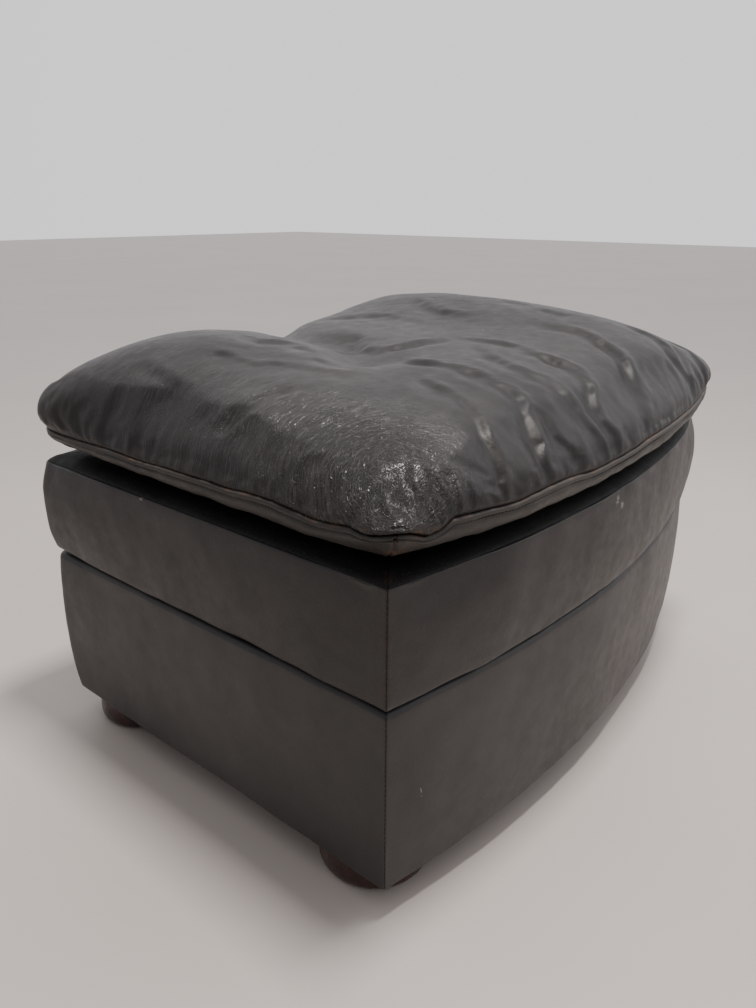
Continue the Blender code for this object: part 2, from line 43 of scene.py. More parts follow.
boxBottom, boxTop = 0.037, 0.2312
lidBottom, lidSeam = 0.2352, 0.352
cushionSeam = 0.397
bowCentreY = 1.13579
boxPlan = {"half": 0.358, "back": 0.2877, "bow": 1.41609}
lidPlan = {"half": 0.362, "back": 0.2877, "bow": 1.42009}
seamPlan = {"half": 0.365, "back": 0.2817, "bow": 1.43009}
woodInset = 0.0086  # from a tier's leather to its boards
liningInset = 0.0239  # from a tier's leather to the back of its lining
sides = ("front", "right", "back", "left")


# shapes seen from above

def arcPoints(centre, radius, start, end, steps):
    turns = np.linspace(start, end, steps + 1)
    return np.stack([centre[0] + radius * np.cos(turns), centre[1] + radius * np.sin(turns)], 1)


def sidePath(plan, side, inset, radii):
    # one side of a tier, anticlockwise, from the middle of one corner to the middle of the next
    if side == "left":
        path = sidePath(plan, "right", inset, {"fr": radii["fl"], "br": radii["bl"]})[::-1]
        return path * (-1, 1)
    half, back, bow = plan["half"] - inset, plan["back"] - inset, plan["bow"] - inset

    def frontCorner(radius):
        x, inner = half - radius, bow - radius
        lean = math.asin(x / inner)
        return (x, bowCentreY - math.sqrt(inner**2 - x * x)), lean

    if side == "front":
        rightCentre, rightLean = frontCorner(radii["fr"])
        leftCentre, leftLean = frontCorner(radii["fl"])
        rightArc = arcPoints(rightCentre, radii["fr"], rightLean - math.pi / 2, (rightLean - math.pi / 2) / 2,
                             12)
        leftArc = arcPoints(leftCentre, radii["fl"], leftLean - math.pi / 2, (leftLean - math.pi / 2) / 2, 12)
        leftArc = leftArc[::-1] * (-1, 1)
        turns = np.linspace(-leftLean, rightLean, 161)
        middle = np.stack([bow * np.sin(turns), bowCentreY - bow * np.cos(turns)], 1)
        return np.concatenate([leftArc[:-1], middle, rightArc[1:]])
    if side == "right":
        centre, lean = frontCorner(radii["fr"])
        low = arcPoints(centre, radii["fr"], (lean - math.pi / 2) / 2, 0, 12)
        high = arcPoints((half - radii["br"], back - radii["br"]), radii["br"], 0, math.pi / 4, 12)
        return np.concatenate([low, high])
    right = arcPoints((half - radii["br"], back - radii["br"]), radii["br"], math.pi / 4, math.pi / 2, 12)
    left = arcPoints((half - radii["bl"], back - radii["bl"]), radii["bl"], math.pi / 4, math.pi / 2, 12)
    return np.concatenate([right, left[::-1] * (-1, 1)])


def cornerRadii(radii, inset, limit):
    # a corner tightens as it turns inward, and stays outside the corner of the wood at limit
    tight = {}
    for name, radius in radii.items():
        room = (limit - inset) / 0.293 if limit else radius
        tight[name] = max(min(radius - inset, room), 0.0006)
    return tight


def stationsAlong(length, fine, step):
    # distances along a side: close together at its two seams and even between them
    fine = np.array(fine)
    count = max(int((length - 2 * fine[-1]) / step), 2)
    middle = np.linspace(0, 1, count + 1)[1:-1]
    return fine, middle


def alongPath(path, fine, middle):
    # points at the stations, the distance of each from the nearer seam, and its outward normal
    steps = np.linalg.norm(np.diff(path, axis=0), axis=1)
    run = np.concatenate([[0], np.cumsum(steps)])
    total = run[-1]
    near = fine * min(1, total / (4 * fine[-1]))
    inner = near[-1] + middle * (total - 2 * near[-1])
    at = np.concatenate([near, inner, total - near[::-1]])
    points = np.stack([np.interp(at, run, path[:, k]) for k in (0, 1)], 1)
    ahead = np.stack([np.interp(np.minimum(at + 2e-4, total), run, path[:, k]) for k in (0, 1)], 1)
    behind = np.stack([np.interp(np.maximum(at - 2e-4, 0), run, path[:, k]) for k in (0, 1)], 1)
    tangent = ahead - behind
    tangent /= np.linalg.norm(tangent, axis=1)[:, None]
    return points, np.minimum(at, total - at), np.stack([tangent[:, 1], -tangent[:, 0]], 1)


def waves(points, size, seed, octaves=3):
    # smooth noise from about -1 to 1, with features of this size in metres
    shift = Vector((seed * 7.31, seed * 3.17, seed * 5.73))
    scale = 1 / size
    return np.array([noise.fractal(Vector(p) * scale + shift, 0.8, 2.1, octaves) for p in points])


def smooth(value):
    value = np.clip(value, 0, 1)
    return value * value * (3 - 2 * value)


# making meshes

def meshPiece(name, points, faces, body, material, replaced=(), smoothed=True):
    mesh = bpy.data.meshes.new(name)
    mesh.from_pydata([tuple(p) for p in points], [], [tuple(int(i) for i in f) for f in faces])
    mesh.validate()
    if smoothed:
        mesh.shade_smooth()
    piece = bpy.data.objects.new(name, mesh)
    bpy.context.scene.collection.objects.link(piece)
    if material:
        mesh.materials.append(material)
    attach(piece, body)
    if replaced:
        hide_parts(*replaced)
    return piece


def gridFaces(rows, columns, start=0, around=False):
    faces = []
    for row in range(rows - 1):
        for column in range(columns if around else columns - 1):
            a = start + row * columns + column
            b = start + row * columns + (column + 1) % columns
            faces.append((a, b, b + columns, a + columns))
    return faces


def thicken(piece, thickness):
    solid = piece.modifiers.new("thickness", "SOLIDIFY")
    solid.thickness = thickness
    solid.offset = -1.0  # inwards
    applyModifiers(piece)


def applyModifiers(piece):
    bpy.context.view_layer.update()
    evaluated = piece.evaluated_get(bpy.context.evaluated_depsgraph_get())
    mesh = bpy.data.meshes.new_from_object(evaluated)
    old = piece.data
    piece.modifiers.clear()
    piece.data = mesh
    mesh.name = old.name


def outwards(piece):
    # makes the faces of a closed piece point outwards
    shape = bmesh.new()
    shape.from_mesh(piece.data)
    bmesh.ops.recalc_face_normals(shape, faces=shape.faces)
    shape.to_mesh(piece.data)
    shape.free()


def markPoints(piece, name, values):
    layer = piece.data.attributes.get(name) or piece.data.attributes.new(name, "FLOAT", "POINT")
    layer.data.foreach_set("value", np.asarray(values, np.float32))


def pointsOf(piece):
    points = np.zeros(len(piece.data.vertices) * 3)
    piece.data.vertices.foreach_get("co", points)
    return points.reshape(-1, 3)


def normalsOf(piece):
    normals = np.zeros(len(piece.data.vertices) * 3)
    piece.data.vertex_normals.foreach_get("vector", normals)
    return normals.reshape(-1, 3)


def setPoints(piece, points):
    piece.data.vertices.foreach_set("co", np.asarray(points).ravel())
    piece.data.update()


# materials

def colour(hexValue):
    # an sRGB hex colour turned to linear red, green, blue and alpha
    values = [int(hexValue[k:k + 2], 16) / 255 for k in (1, 3, 5)]
    return tuple(v / 12.92 if v <= 0.04045 else ((v + 0.055) / 1.055) ** 2.4 for v in values) + (1.0,)


def perMetre(millimetres):
    # the texture scale whose features are this many millimetres across
    return 1000 / millimetres


def newMaterial(name):
    material = bpy.data.materials.new(name)
    material.use_nodes = True
    tree = material.node_tree
    tree.nodes.clear()
    return material, tree


def addNode(tree, kind, settings=None, inputs=None):
    # one node with its settings, and its inputs as values or as links from other nodes' sockets
    node = tree.nodes.new("ShaderNode" + kind)
    for key, value in (settings or {}).items():
        if key == "ramp":
            ramp = node.color_ramp
            while len(ramp.elements) < len(value):
                ramp.elements.new(0.5)
            for element, (place, shade) in zip(ramp.elements, value):
                element.position = place
                element.color = shade if isinstance(shade, tuple) else (shade, shade, shade, 1)
        else:
            setattr(node, key, value)
    for key, value in (inputs or {}).items():
        if isinstance(value, bpy.types.NodeSocket):
            tree.links.new(value, node.inputs[key])
        else:
            node.inputs[key].default_value = value
    return node


def finishMaterial(tree, shader):
    addNode(tree, "OutputMaterial", None, {"Surface": shader.outputs[0]})


# Aniline-dyed cowhide under a thin pigment coat, milled soft and worn by use. The pebbled grain and the
# cracks in the coat catch small glints, and the cracks are coloured lighter, partly the coat's own pale
# cracks and partly painted glint. The dye has faded unevenly, and rubbed edges show warm brown.
def wornLeather(name, look):
    material, tree = newMaterial(name)
    place = addNode(tree, "TexCoord").outputs["Object"]
    wander = addNode(tree, "TexNoise", None, {"Vector": place, "Scale": perMetre(26), "Detail": 3.0})
    bend = addNode(tree, "VectorMath", {"operation": "MULTIPLY_ADD"},
                   {0: wander.outputs["Color"], 1: (0.011, 0.011, 0.011), 2: place}).outputs[0]
    fade = addNode(tree, "TexNoise", None,
                   {"Vector": place, "Scale": perMetre(140), "Detail": 3.0, "Roughness": 0.55})
    mottle = addNode(tree, "TexNoise", None,
                     {"Vector": place, "Scale": perMetre(16), "Detail": 5.0, "Roughness": 0.62})
    grain = addNode(tree, "TexVoronoi", {"feature": "SMOOTH_F1"},
                    {"Vector": bend, "Scale": perMetre(look["grain"]), "Smoothness": 0.35})
    crackPlace = bend
    if look.get("centre"):
        # creases in arcs round the place where the leather is pulled most, longer than they are apart
        centre = look["centre"]
        axes = addNode(tree, "SeparateXYZ", None, {0: bend})
        dx = addNode(tree, "Math", {"operation": "SUBTRACT"}, {0: axes.outputs[0], 1: centre[0]}).outputs[0]
        dy = addNode(tree, "Math", {"operation": "SUBTRACT"}, {0: axes.outputs[1], 1: centre[1]}).outputs[0]
        turn = addNode(tree, "Math", {"operation": "ARCTAN2"}, {0: dy, 1: dx}).outputs[0]
        reach = addNode(tree, "VectorMath", {"operation": "DISTANCE"}, {0: bend, 1: centre}).outputs["Value"]
        along = addNode(tree, "Math", {"operation": "MULTIPLY"}, {0: turn, 1: 0.0095}).outputs[0]
        crackPlace = addNode(tree, "CombineXYZ", None, {0: reach, 1: along}).outputs[0]
        # creases that run down from there to the seam, about 5 mm apart where the leather is pleated,
        # bumped in and coloured near black along them as painted shade
        spread = addNode(tree, "Math", {"operation": "MULTIPLY"}, {0: turn, 1: 0.060}).outputs[0]
        drawn = addNode(tree, "Math", {"operation": "MULTIPLY"}, {0: reach, 1: 0.20}).outputs[0]
        creasePlace = addNode(tree, "CombineXYZ", None, {0: drawn, 1: spread}).outputs[0]
        creases = addNode(tree, "TexVoronoi", {"feature": "DISTANCE_TO_EDGE"},
                          {"Vector": creasePlace, "Scale": perMetre(6.0), "Randomness": 1.0})
        pleated = addNode(tree, "Attribute",
                          {"attribute_name": "pleats", "attribute_type": "GEOMETRY"}).outputs["Fac"]
        creaseDepthAndShade = addNode(tree, "MapRange", {"clamp": True}, {
            "Value": creases.outputs["Distance"], "From Min": 0.0, "From Max": 0.055,
            "To Min": 1.0, "To Max": 0.0}).outputs[0]
        creaseDepthAndShade = addNode(tree, "Math", {"operation": "MULTIPLY"}, {0: creaseDepthAndShade, 1: pleated}).outputs[0]
    cracks = addNode(tree, "TexVoronoi", {"feature": "DISTANCE_TO_EDGE"},
                     {"Vector": crackPlace, "Scale": perMetre(look["crack"]), "Randomness": 1.0})
    fineCracks = addNode(tree, "TexVoronoi", {"feature": "DISTANCE_TO_EDGE"},
                         {"Vector": bend, "Scale": perMetre(look["crack"] * 0.8), "Randomness": 1.0})
    crackLine = addNode(tree, "MapRange", {"clamp": True},
                        {"Value": cracks.outputs["Distance"], "From Min": 0.0, "From Max": 0.12,
                         "To Min": 1.0, "To Max": 0.0}).outputs[0]
    fineLine = addNode(tree, "MapRange", {"clamp": True},
                       {"Value": fineCracks.outputs["Distance"], "From Min": 0.0, "From Max": 0.12,
                        "To Min": 1.0, "To Max": 0.0}).outputs[0]
    wear = addNode(tree, "Attribute", {"attribute_name": "wear", "attribute_type": "GEOMETRY"}).outputs["Fac"]
    # where the coat has cracked most: patches, and more of it where the piece is marked as worn
    patches = addNode(tree, "TexNoise", None,
                      {"Vector": place, "Scale": perMetre(75), "Detail": 4.0, "Roughness": 0.6})
    cracked = addNode(tree, "MapRange", {"clamp": True},
                      {"Value": patches.outputs["Fac"], "From Min": 0.44, "From Max": 0.62,
                       "To Min": look["crackLow"], "To Max": look["crackHigh"]}).outputs[0]
    cracked = addNode(tree, "Math", {"operation": "ADD", "use_clamp": True}, {0: cracked, 1: wear}).outputs[0]
    bothLines = addNode(tree, "Math", {"operation": "MULTIPLY_ADD"},
                        {0: fineLine, 1: 0.5, 2: crackLine}).outputs[0]
    line = addNode(tree, "Math", {"operation": "MULTIPLY", "use_clamp": True},
                   {0: bothLines, 1: cracked}).outputs[0]

    base = addNode(tree, "ValToRGB", {"ramp": [
        (0.30, colour(look["deep"])), (0.52, colour(look["mid"])), (0.74, colour(look["light"]))]},
        {0: fade.outputs["Fac"]}).outputs[0]
    mottled = addNode(tree, "Mix", {"data_type": "RGBA", "blend_type": "MULTIPLY"}, {
        0: look["mottle"], 6: base, 7: addNode(tree, "ValToRGB", {"ramp": [
            (0.32, (0.62, 0.60, 0.60, 1)), (0.66, (1.12, 1.10, 1.08, 1))]},
            {0: mottle.outputs["Fac"]}).outputs[0]})
    # the crack lines are coloured lighter: partly the coat's own pale cracks, partly painted glint
    crackAndGlintLined = addNode(tree, "Mix", {"data_type": "RGBA"}, {
        0: addNode(tree, "Math", {"operation": "MULTIPLY"}, {0: line, 1: look["crackAndGlintShow"]}).outputs[0],
        6: mottled.outputs[2], 7: colour(look["line"])})
    # rubbed brown edges
    rubPatch = addNode(tree, "MapRange", {"clamp": True},
                       {"Value": mottle.outputs["Fac"], "From Min": 0.48, "From Max": 0.66,
                        "To Min": 0.0, "To Max": 1.0}).outputs[0]
    rub = addNode(tree, "Attribute", {"attribute_name": "rub", "attribute_type": "GEOMETRY"}).outputs["Fac"]
    rubbed = addNode(tree, "Math", {"operation": "MULTIPLY", "use_clamp": True},
                     {0: rubPatch, 1: rub}).outputs[0]
    browned = addNode(tree, "Mix", {"data_type": "RGBA"},
                      {0: rubbed, 6: crackAndGlintLined.outputs[2], 7: colour(look["rub"])})
    browned = browned.outputs[2]
    # painted shade: the colour darkens toward near black along the creases by the near corner
    if look.get("centre"):
        browned = addNode(tree, "Mix", {"data_type": "RGBA"}, {
            0: addNode(tree, "Math", {"operation": "MULTIPLY"}, {0: creaseDepthAndShade, 1: 0.55}).outputs[0],
            6: browned, 7: colour("#0b0a0a")}).outputs[2]
    # dust and lint: specks under a millimetre across, a few to each hand's breadth
    specks = addNode(tree, "TexVoronoi", None, {"Vector": place, "Scale": perMetre(21), "Randomness": 1.0})
    speck = addNode(tree, "MapRange", {"clamp": True},
                    {"Value": specks.outputs["Distance"], "From Min": 0.014, "From Max": 0.024,
                     "To Min": 1.0, "To Max": 0.0}).outputs[0]
    pick = addNode(tree, "Math", {"operation": "GREATER_THAN"},
                   {0: addNode(tree, "SeparateColor", None, {0: specks.outputs["Color"]}).outputs[0],
                    1: 1 - look["dust"]}).outputs[0]
    speckOn = addNode(tree, "Math", {"operation": "MULTIPLY"}, {0: speck, 1: pick}).outputs[0]
    film = addNode(tree, "TexNoise", None, {"Vector": place, "Scale": perMetre(1.6), "Detail": 2.0})
    filmOn = addNode(tree, "MapRange", {"clamp": True},
                     {"Value": film.outputs["Fac"], "From Min": 0.60, "From Max": 0.80,
                      "To Min": 0.0, "To Max": look["film"]}).outputs[0]
    dusty = addNode(tree, "Math", {"operation": "MAXIMUM"},
                    {0: addNode(tree, "Math", {"operation": "MULTIPLY"}, {0: speckOn, 1: 0.55}).outputs[0],
                     1: filmOn})
    dusty = dusty.outputs[0]
    # scuffs: places where something pale has rubbed off on the coat, broken up by the grain
    for middle, size in look.get("scuffs", ()):
        away = addNode(tree, "VectorMath", {"operation": "SUBTRACT"}, {0: place, 1: middle}).outputs[0]
        shaped = addNode(tree, "VectorMath", {"operation": "DIVIDE"}, {0: away, 1: size}).outputs[0]
        length = addNode(tree, "VectorMath", {"operation": "LENGTH"}, {0: shaped}).outputs["Value"]
        ragged = addNode(tree, "Math", {"operation": "MULTIPLY_ADD"},
                         {0: film.outputs["Fac"], 1: 3.2, 2: length}).outputs[0]
        scuff = addNode(tree, "MapRange", {"clamp": True}, {
            "Value": ragged, "From Min": 2.0, "From Max": 2.25, "To Min": 0.62, "To Max": 0.0}).outputs[0]
        dusty = addNode(tree, "Math", {"operation": "MAXIMUM"}, {0: dusty, 1: scuff}).outputs[0]
    final = addNode(tree, "Mix", {"data_type": "RGBA"}, {
        0: dusty, 6: browned, 7: colour("#a19c94")})

    rough = addNode(tree, "MapRange", {"clamp": True},
                    {"Value": mottle.outputs["Fac"], "From Min": 0.30, "From Max": 0.70,
                     "To Min": look["rough"][0], "To Max": look["rough"][1]}).outputs[0]
    rough = addNode(tree, "Math", {"operation": "MULTIPLY_ADD", "use_clamp": True},
                    {0: wear, 1: -0.23, 2: rough}).outputs[0]

    pebble = addNode(tree, "Bump", None, {"Strength": look["grainBump"], "Distance": 0.0006,
                                          "Height": grain.outputs["Distance"]})
    slack = addNode(tree, "TexNoise", None,
                    {"Vector": bend, "Scale": perMetre(6.5), "Detail": 4.0, "Roughness": 0.6})
    rumple = addNode(tree, "Bump", None, {"Strength": look["rumple"], "Distance": 0.0012,
                                          "Height": slack.outputs["Fac"], "Normal": pebble.outputs[0]})
    split = addNode(tree, "Bump", {"invert": True}, {"Strength": look["crackBump"], "Distance": 0.0004,
                                                      "Height": line, "Normal": rumple.outputs[0]})
    if look.get("centre"):
        split = addNode(tree, "Bump", {"invert": True}, {"Strength": 0.8, "Distance": 0.0006,
                                                          "Height": creaseDepthAndShade, "Normal": split.outputs[0]})
    shader = addNode(tree, "BsdfPrincipled", None, {
        "Base Color": final.outputs[2], "Roughness": rough, "Normal": split.outputs[0], "IOR": 1.5,
        "Specular IOR Level": look["specular"]})
    finishMaterial(tree, shader)
    return material


# the lighter crack-line colours in these looks are partly painted glint on the cracks
cushionLeather = wornLeather("worn_aniline_leather_cushion", {
    "deep": "#171616", "mid": "#1e1c1c", "light": "#272524", "mottle": 0.30, "grain": 1.3, "crack": 2.0,
    "centre": (-0.327, -0.225, 0.437), "crackLow": 0.03, "crackHigh": 0.22, "line": "#5d5a58",
    "crackAndGlintShow": 0.34,
    "rub": "#5f4436", "dust": 0.20, "film": 0.03, "rough": (0.38, 0.50), "grainBump": 0.12, "rumple": 0.20,
    "crackBump": 1.0, "specular": 0.34,
    "scuffs": [((-0.275, -0.195, 0.468), (0.0022, 0.0010, 0.004)),
               ((0.05, -0.06, 0.49), (0.002, 0.002, 0.02))]})
bandLeather = wornLeather("worn_aniline_leather_lid", {
    "deep": "#191718", "mid": "#242122", "light": "#302c2c", "mottle": 0.45, "grain": 1.3, "crack": 9.0,
    "crackLow": 0.0, "crackHigh": 0.18, "line": "#453f39", "crackAndGlintShow": 0.20, "rub": "#4d372c",
    "dust": 0.30, "film": 0.06, "rough": (0.40, 0.54), "grainBump": 0.14, "rumple": 0.16, "crackBump": 0.3,
    "specular": 0.5,
    "scuffs": [((-0.030, -0.285, 0.343), (0.0055, 0.02, 0.0075)),
               ((-0.018, -0.285, 0.333), (0.0050, 0.02, 0.0060)),
               ((0.184, -0.273, 0.349), (0.003, 0.02, 0.002)),
               ((-0.362, 0.082, 0.3505), (0.02, 0.0035, 0.0022)),
               ((0.022, -0.285, 0.327), (0.0018, 0.02, 0.0018))]})
baseLeather = wornLeather("worn_aniline_leather_box", {
    "deep": "#252425", "mid": "#302e2f", "light": "#3a3838", "mottle": 0.36, "grain": 1.3, "crack": 10.0,
    "crackLow": 0.0, "crackHigh": 0.12, "line": "#45423f", "crackAndGlintShow": 0.15, "rub": "#44342b",
    "dust": 0.28, "film": 0.06, "rough": (0.42, 0.54), "grainBump": 0.14, "rumple": 0.14, "crackBump": 0.25,
    "specular": 0.5, "scuffs": [((-0.319, -0.245, 0.132), (0.0012, 0.02, 0.0060))]})
boxingLeather = wornLeather("worn_aniline_leather_boxing", {
    "deep": "#23211f", "mid": "#302d2a", "light": "#3c3934", "mottle": 0.45, "grain": 1.2, "crack": 5.0,
    "crackLow": 0.0, "crackHigh": 0.35, "line": "#545046", "crackAndGlintShow": 0.30, "rub": "#6b4e3e",
    "dust": 0.10, "film": 0.08, "rough": (0.44, 0.60), "grainBump": 0.22, "rumple": 0.34, "crackBump": 0.35,
    "specular": 0.45})
# The deck's leather is the lid's hide coloured near black: painted shade under the cushion.
deckPaintedShade = wornLeather("worn_aniline_leather_deck_painted_shade", {
    "deep": "#0c0b0b", "mid": "#121110", "light": "#1a1817", "mottle": 0.45, "grain": 1.3, "crack": 9.0,
    "crackLow": 0.0, "crackHigh": 0.2, "line": "#2c2824", "crackAndGlintShow": 0.2, "rub": "#3f2d23",
    "dust": 0.75, "film": 0.14, "rough": (0.58, 0.74), "grainBump": 0.2, "rumple": 0.3, "crackBump": 0.2,
    "specular": 0.3})


# Flexible polyurethane foam, cast as a block and cut: matt, cream going yellow, with open cells.
def cutFoam():
    material, tree = newMaterial("cut_polyurethane_foam")
    place = addNode(tree, "TexCoord").outputs["Object"]
    cells = addNode(tree, "TexVoronoi", None, {"Vector": place, "Scale": perMetre(1.6)})
    age = addNode(tree, "TexNoise", None, {"Vector": place, "Scale": perMetre(60), "Detail": 3.0})
    tint = addNode(tree, "ValToRGB", {"ramp": [(0.35, colour("#d8cc9c")), (0.7, colour("#c2ad72"))]},
                   {0: age.outputs["Fac"]})
    bump = addNode(tree, "Bump", None,
                   {"Strength": 0.6, "Distance": 0.0008, "Height": cells.outputs["Distance"]})
    shader = addNode(tree, "BsdfPrincipled", None, {
        "Base Color": tint.outputs[0], "Roughness": 0.95, "Normal": bump.outputs[0]})
    finishMaterial(tree, shader)
    return material


# Poplar plywood, rotary cut and pressed: pale brown, long wavy figure along the sheet, a dry sanded face.
def sandedPlywood():
    material, tree = newMaterial("sanded_poplar_plywood")
    place = addNode(tree, "TexCoord").outputs["Object"]
    long = addNode(tree, "VectorMath", {"operation": "MULTIPLY"}, {0: place, 1: (0.12, 0.12, 1.0)}).outputs[0]
    figure = addNode(tree, "TexNoise", None,
                     {"Vector": long, "Scale": perMetre(7), "Detail": 6.0, "Distortion": 1.4})
    pores = addNode(tree, "TexNoise", None, {"Vector": long, "Scale": perMetre(0.9), "Detail": 2.0})
    tint = addNode(tree, "ValToRGB", {"ramp": [
        (0.3, colour("#8d6a43")), (0.5, colour("#b48e60")), (0.72, colour("#c9a878"))]},
        {0: figure.outputs["Fac"]})
    bump = addNode(tree, "Bump", None, {"Strength": 0.35, "Distance": 0.0004, "Height": pores.outputs["Fac"]})
    rough = addNode(tree, "MapRange", None, {"Value": pores.outputs["Fac"], "To Min": 0.58, "To Max": 0.78})
    shader = addNode(tree, "BsdfPrincipled", None, {
        "Base Color": tint.outputs[0], "Roughness": rough.outputs[0], "Normal": bump.outputs[0]})
    finishMaterial(tree, shader)
    return material


# Plain-woven polyester lining, dyed near black: matt, with a fine over and under thread pattern.
# The real thread is 0.25 mm and is drawn at 1.1 mm so that it shows.
def wovenLining(name, tint):
    material, tree = newMaterial(name)
    place = addNode(tree, "TexCoord").outputs["Object"]
    axes = addNode(tree, "SeparateXYZ", None, {0: place})
    threads = []
    for pair in ((0, 1), (2, 2)):
        run = addNode(tree, "Math", {"operation": "ADD"},
                      {0: axes.outputs[pair[0]], 1: axes.outputs[pair[1]]})
        if pair == (2, 2):
            run = addNode(tree, "Math", {"operation": "SUBTRACT"}, {0: axes.outputs[0], 1: axes.outputs[1]})
            run = addNode(tree, "Math", {"operation": "ADD"}, {0: run.outputs[0], 1: axes.outputs[2]})
        wave = addNode(tree, "Math", {"operation": "SINE"}, {0: addNode(
            tree, "Math", {"operation": "MULTIPLY"},
            {0: run.outputs[0], 1: 2 * math.pi * perMetre(1.1)}).outputs[0]})
        threads.append(wave.outputs[0])
    weave = addNode(tree, "Math", {"operation": "MULTIPLY"}, {0: threads[0], 1: threads[1]})
    fuzz = addNode(tree, "TexNoise", None, {"Vector": place, "Scale": perMetre(9), "Detail": 5.0})
    shade = addNode(tree, "ValToRGB", {"ramp": [(0.3, colour(tint[0])), (0.7, colour(tint[1]))]},
                    {0: fuzz.outputs["Fac"]})
    bump = addNode(tree, "Bump", None, {"Strength": 0.5, "Distance": 0.0003, "Height": weave.outputs[0]})
    shader = addNode(tree, "BsdfPrincipled", None, {
        "Base Color": shade.outputs[0], "Roughness": 0.88, "Normal": bump.outputs[0],
        "Sheen Weight": 0.25, "Sheen Roughness": 0.5})
    finishMaterial(tree, shader)
    return material


# Beech turned on a lathe, stained mahogany and lacquered: red-brown, long pores, a soft shine, dull scuffs.
def stainedBeech():
    material, tree = newMaterial("stained_lacquered_beech")
    place = addNode(tree, "TexCoord").outputs["Object"]
    long = addNode(tree, "VectorMath", {"operation": "MULTIPLY"}, {0: place, 1: (0.15, 1.0, 1.0)}).outputs[0]
    figure = addNode(tree, "TexNoise", None,
                     {"Vector": long, "Scale": perMetre(6), "Detail": 6.0, "Distortion": 0.8})
    scuff = addNode(tree, "TexNoise", None, {"Vector": place, "Scale": perMetre(11), "Detail": 5.0})
    tint = addNode(tree, "ValToRGB", {"ramp": [
        (0.30, colour("#1d0f0b")), (0.55, colour("#34190f")), (0.75, colour("#472417"))]},
        {0: figure.outputs["Fac"]})
    rough = addNode(tree, "MapRange", {"clamp": True},
                    {"Value": scuff.outputs["Fac"], "From Min": 0.4, "From Max": 0.7, "To Min": 0.25,
                     "To Max": 0.5})
    bump = addNode(tree, "Bump", None,
                   {"Strength": 0.15, "Distance": 0.0003, "Height": figure.outputs["Fac"]})
    shader = addNode(tree, "BsdfPrincipled", None, {
        "Base Color": tint.outputs[0], "Roughness": rough.outputs[0], "Normal": bump.outputs[0],
        "Coat Weight": 0.3, "Coat Roughness": 0.25})
    finishMaterial(tree, shader)
    return material


# Metals of the fittings. Zinc plate on pressed steel is a cool grey with faint cloudy spangle, the rod is
# ground and chromed, and the tube is black stoved paint with a slight orange peel.
def platedMetal(name, look):
    material, tree = newMaterial(name)
    place = addNode(tree, "TexCoord").outputs["Object"]
    cloud = addNode(tree, "TexNoise", None,
                    {"Vector": place, "Scale": perMetre(look["cloud"]), "Detail": 4.0})
    fine = addNode(tree, "TexNoise", None, {"Vector": place, "Scale": perMetre(look["fine"]), "Detail": 2.0})
    tint = addNode(tree, "ValToRGB", {"ramp": [(0.35, colour(look["dark"])), (0.65, colour(look["light"]))]},
                   {0: cloud.outputs["Fac"]})
    rough = addNode(tree, "MapRange", {"clamp": True}, {
        "Value": cloud.outputs["Fac"], "From Min": 0.3, "From Max": 0.7,
        "To Min": look["rough"][0], "To Max": look["rough"][1]})
    bump = addNode(tree, "Bump", None,
                   {"Strength": look["bump"], "Distance": 0.0001, "Height": fine.outputs["Fac"]})
    shader = addNode(tree, "BsdfPrincipled", None, {
        "Base Color": tint.outputs[0], "Roughness": rough.outputs[0], "Normal": bump.outputs[0],
        "Metallic": look["metallic"]})
    finishMaterial(tree, shader)
    return material


# Moulded nylon and rubber: even colour, faint flow marks, dull from scuffing.
def mouldedPlastic(name, dark, light, rough):
    material, tree = newMaterial(name)
    place = addNode(tree, "TexCoord").outputs["Object"]
    flow = addNode(tree, "TexNoise", None, {"Vector": place, "Scale": perMetre(5), "Detail": 3.0})
    tint = addNode(tree, "ValToRGB", {"ramp": [(0.35, colour(dark)), (0.7, colour(light))]},
                   {0: flow.outputs["Fac"]})
    shine = addNode(tree, "MapRange", {"clamp": True}, {
        "Value": flow.outputs["Fac"], "From Min": 0.3, "From Max": 0.7, "To Min": rough[0],
        "To Max": rough[1]})
    bump = addNode(tree, "Bump", None, {"Strength": 0.2, "Distance": 0.0002, "Height": flow.outputs["Fac"]})
    shader = addNode(tree, "BsdfPrincipled", None, {
        "Base Color": tint.outputs[0], "Roughness": shine.outputs[0], "Normal": bump.outputs[0]})
    finishMaterial(tree, shader)
    return material


# Bonded polyester thread, waxed: matt, dark with a reddish cast where it has worn.
threadMaterial = mouldedPlastic("waxed_polyester_thread", "#1c1613", "#3a241b", (0.6, 0.8))
zincSteel = platedMetal("zinc_plated_pressed_steel", {
    "cloud": 4, "fine": 0.8, "dark": "#8e8f90", "light": "#b3b3b0", "rough": (0.28, 0.42), "bump": 0.2,
    "metallic": 1.0})
chromeRod = platedMetal("ground_chromed_steel", {
    "cloud": 8, "fine": 0.6, "dark": "#b9bbbd", "light": "#cfd0d1", "rough": (0.12, 0.2), "bump": 0.05,
    "metallic": 1.0})
paintedTube = platedMetal("black_stoved_paint", {
    "cloud": 7, "fine": 1.2, "dark": "#121214", "light": "#1b1b1d", "rough": (0.3, 0.42), "bump": 0.25,
    "metallic": 0.0})
plywood = sandedPlywood()
foam = cutFoam()
lining = wovenLining("woven_polyester_lining", ("#171615", "#24221f"))
dustCloth = wovenLining("spunbonded_dust_cloth", ("#121212", "#1c1b1b"))
beech = stainedBeech()
nylon = mouldedPlastic("moulded_nylon", "#a8a294", "#c4beb0", (0.4, 0.55))
rubber = mouldedPlastic("moulded_rubber", "#101010", "#1a1a1a", (0.7, 0.85))


# CAD nodes that stay, with their materials

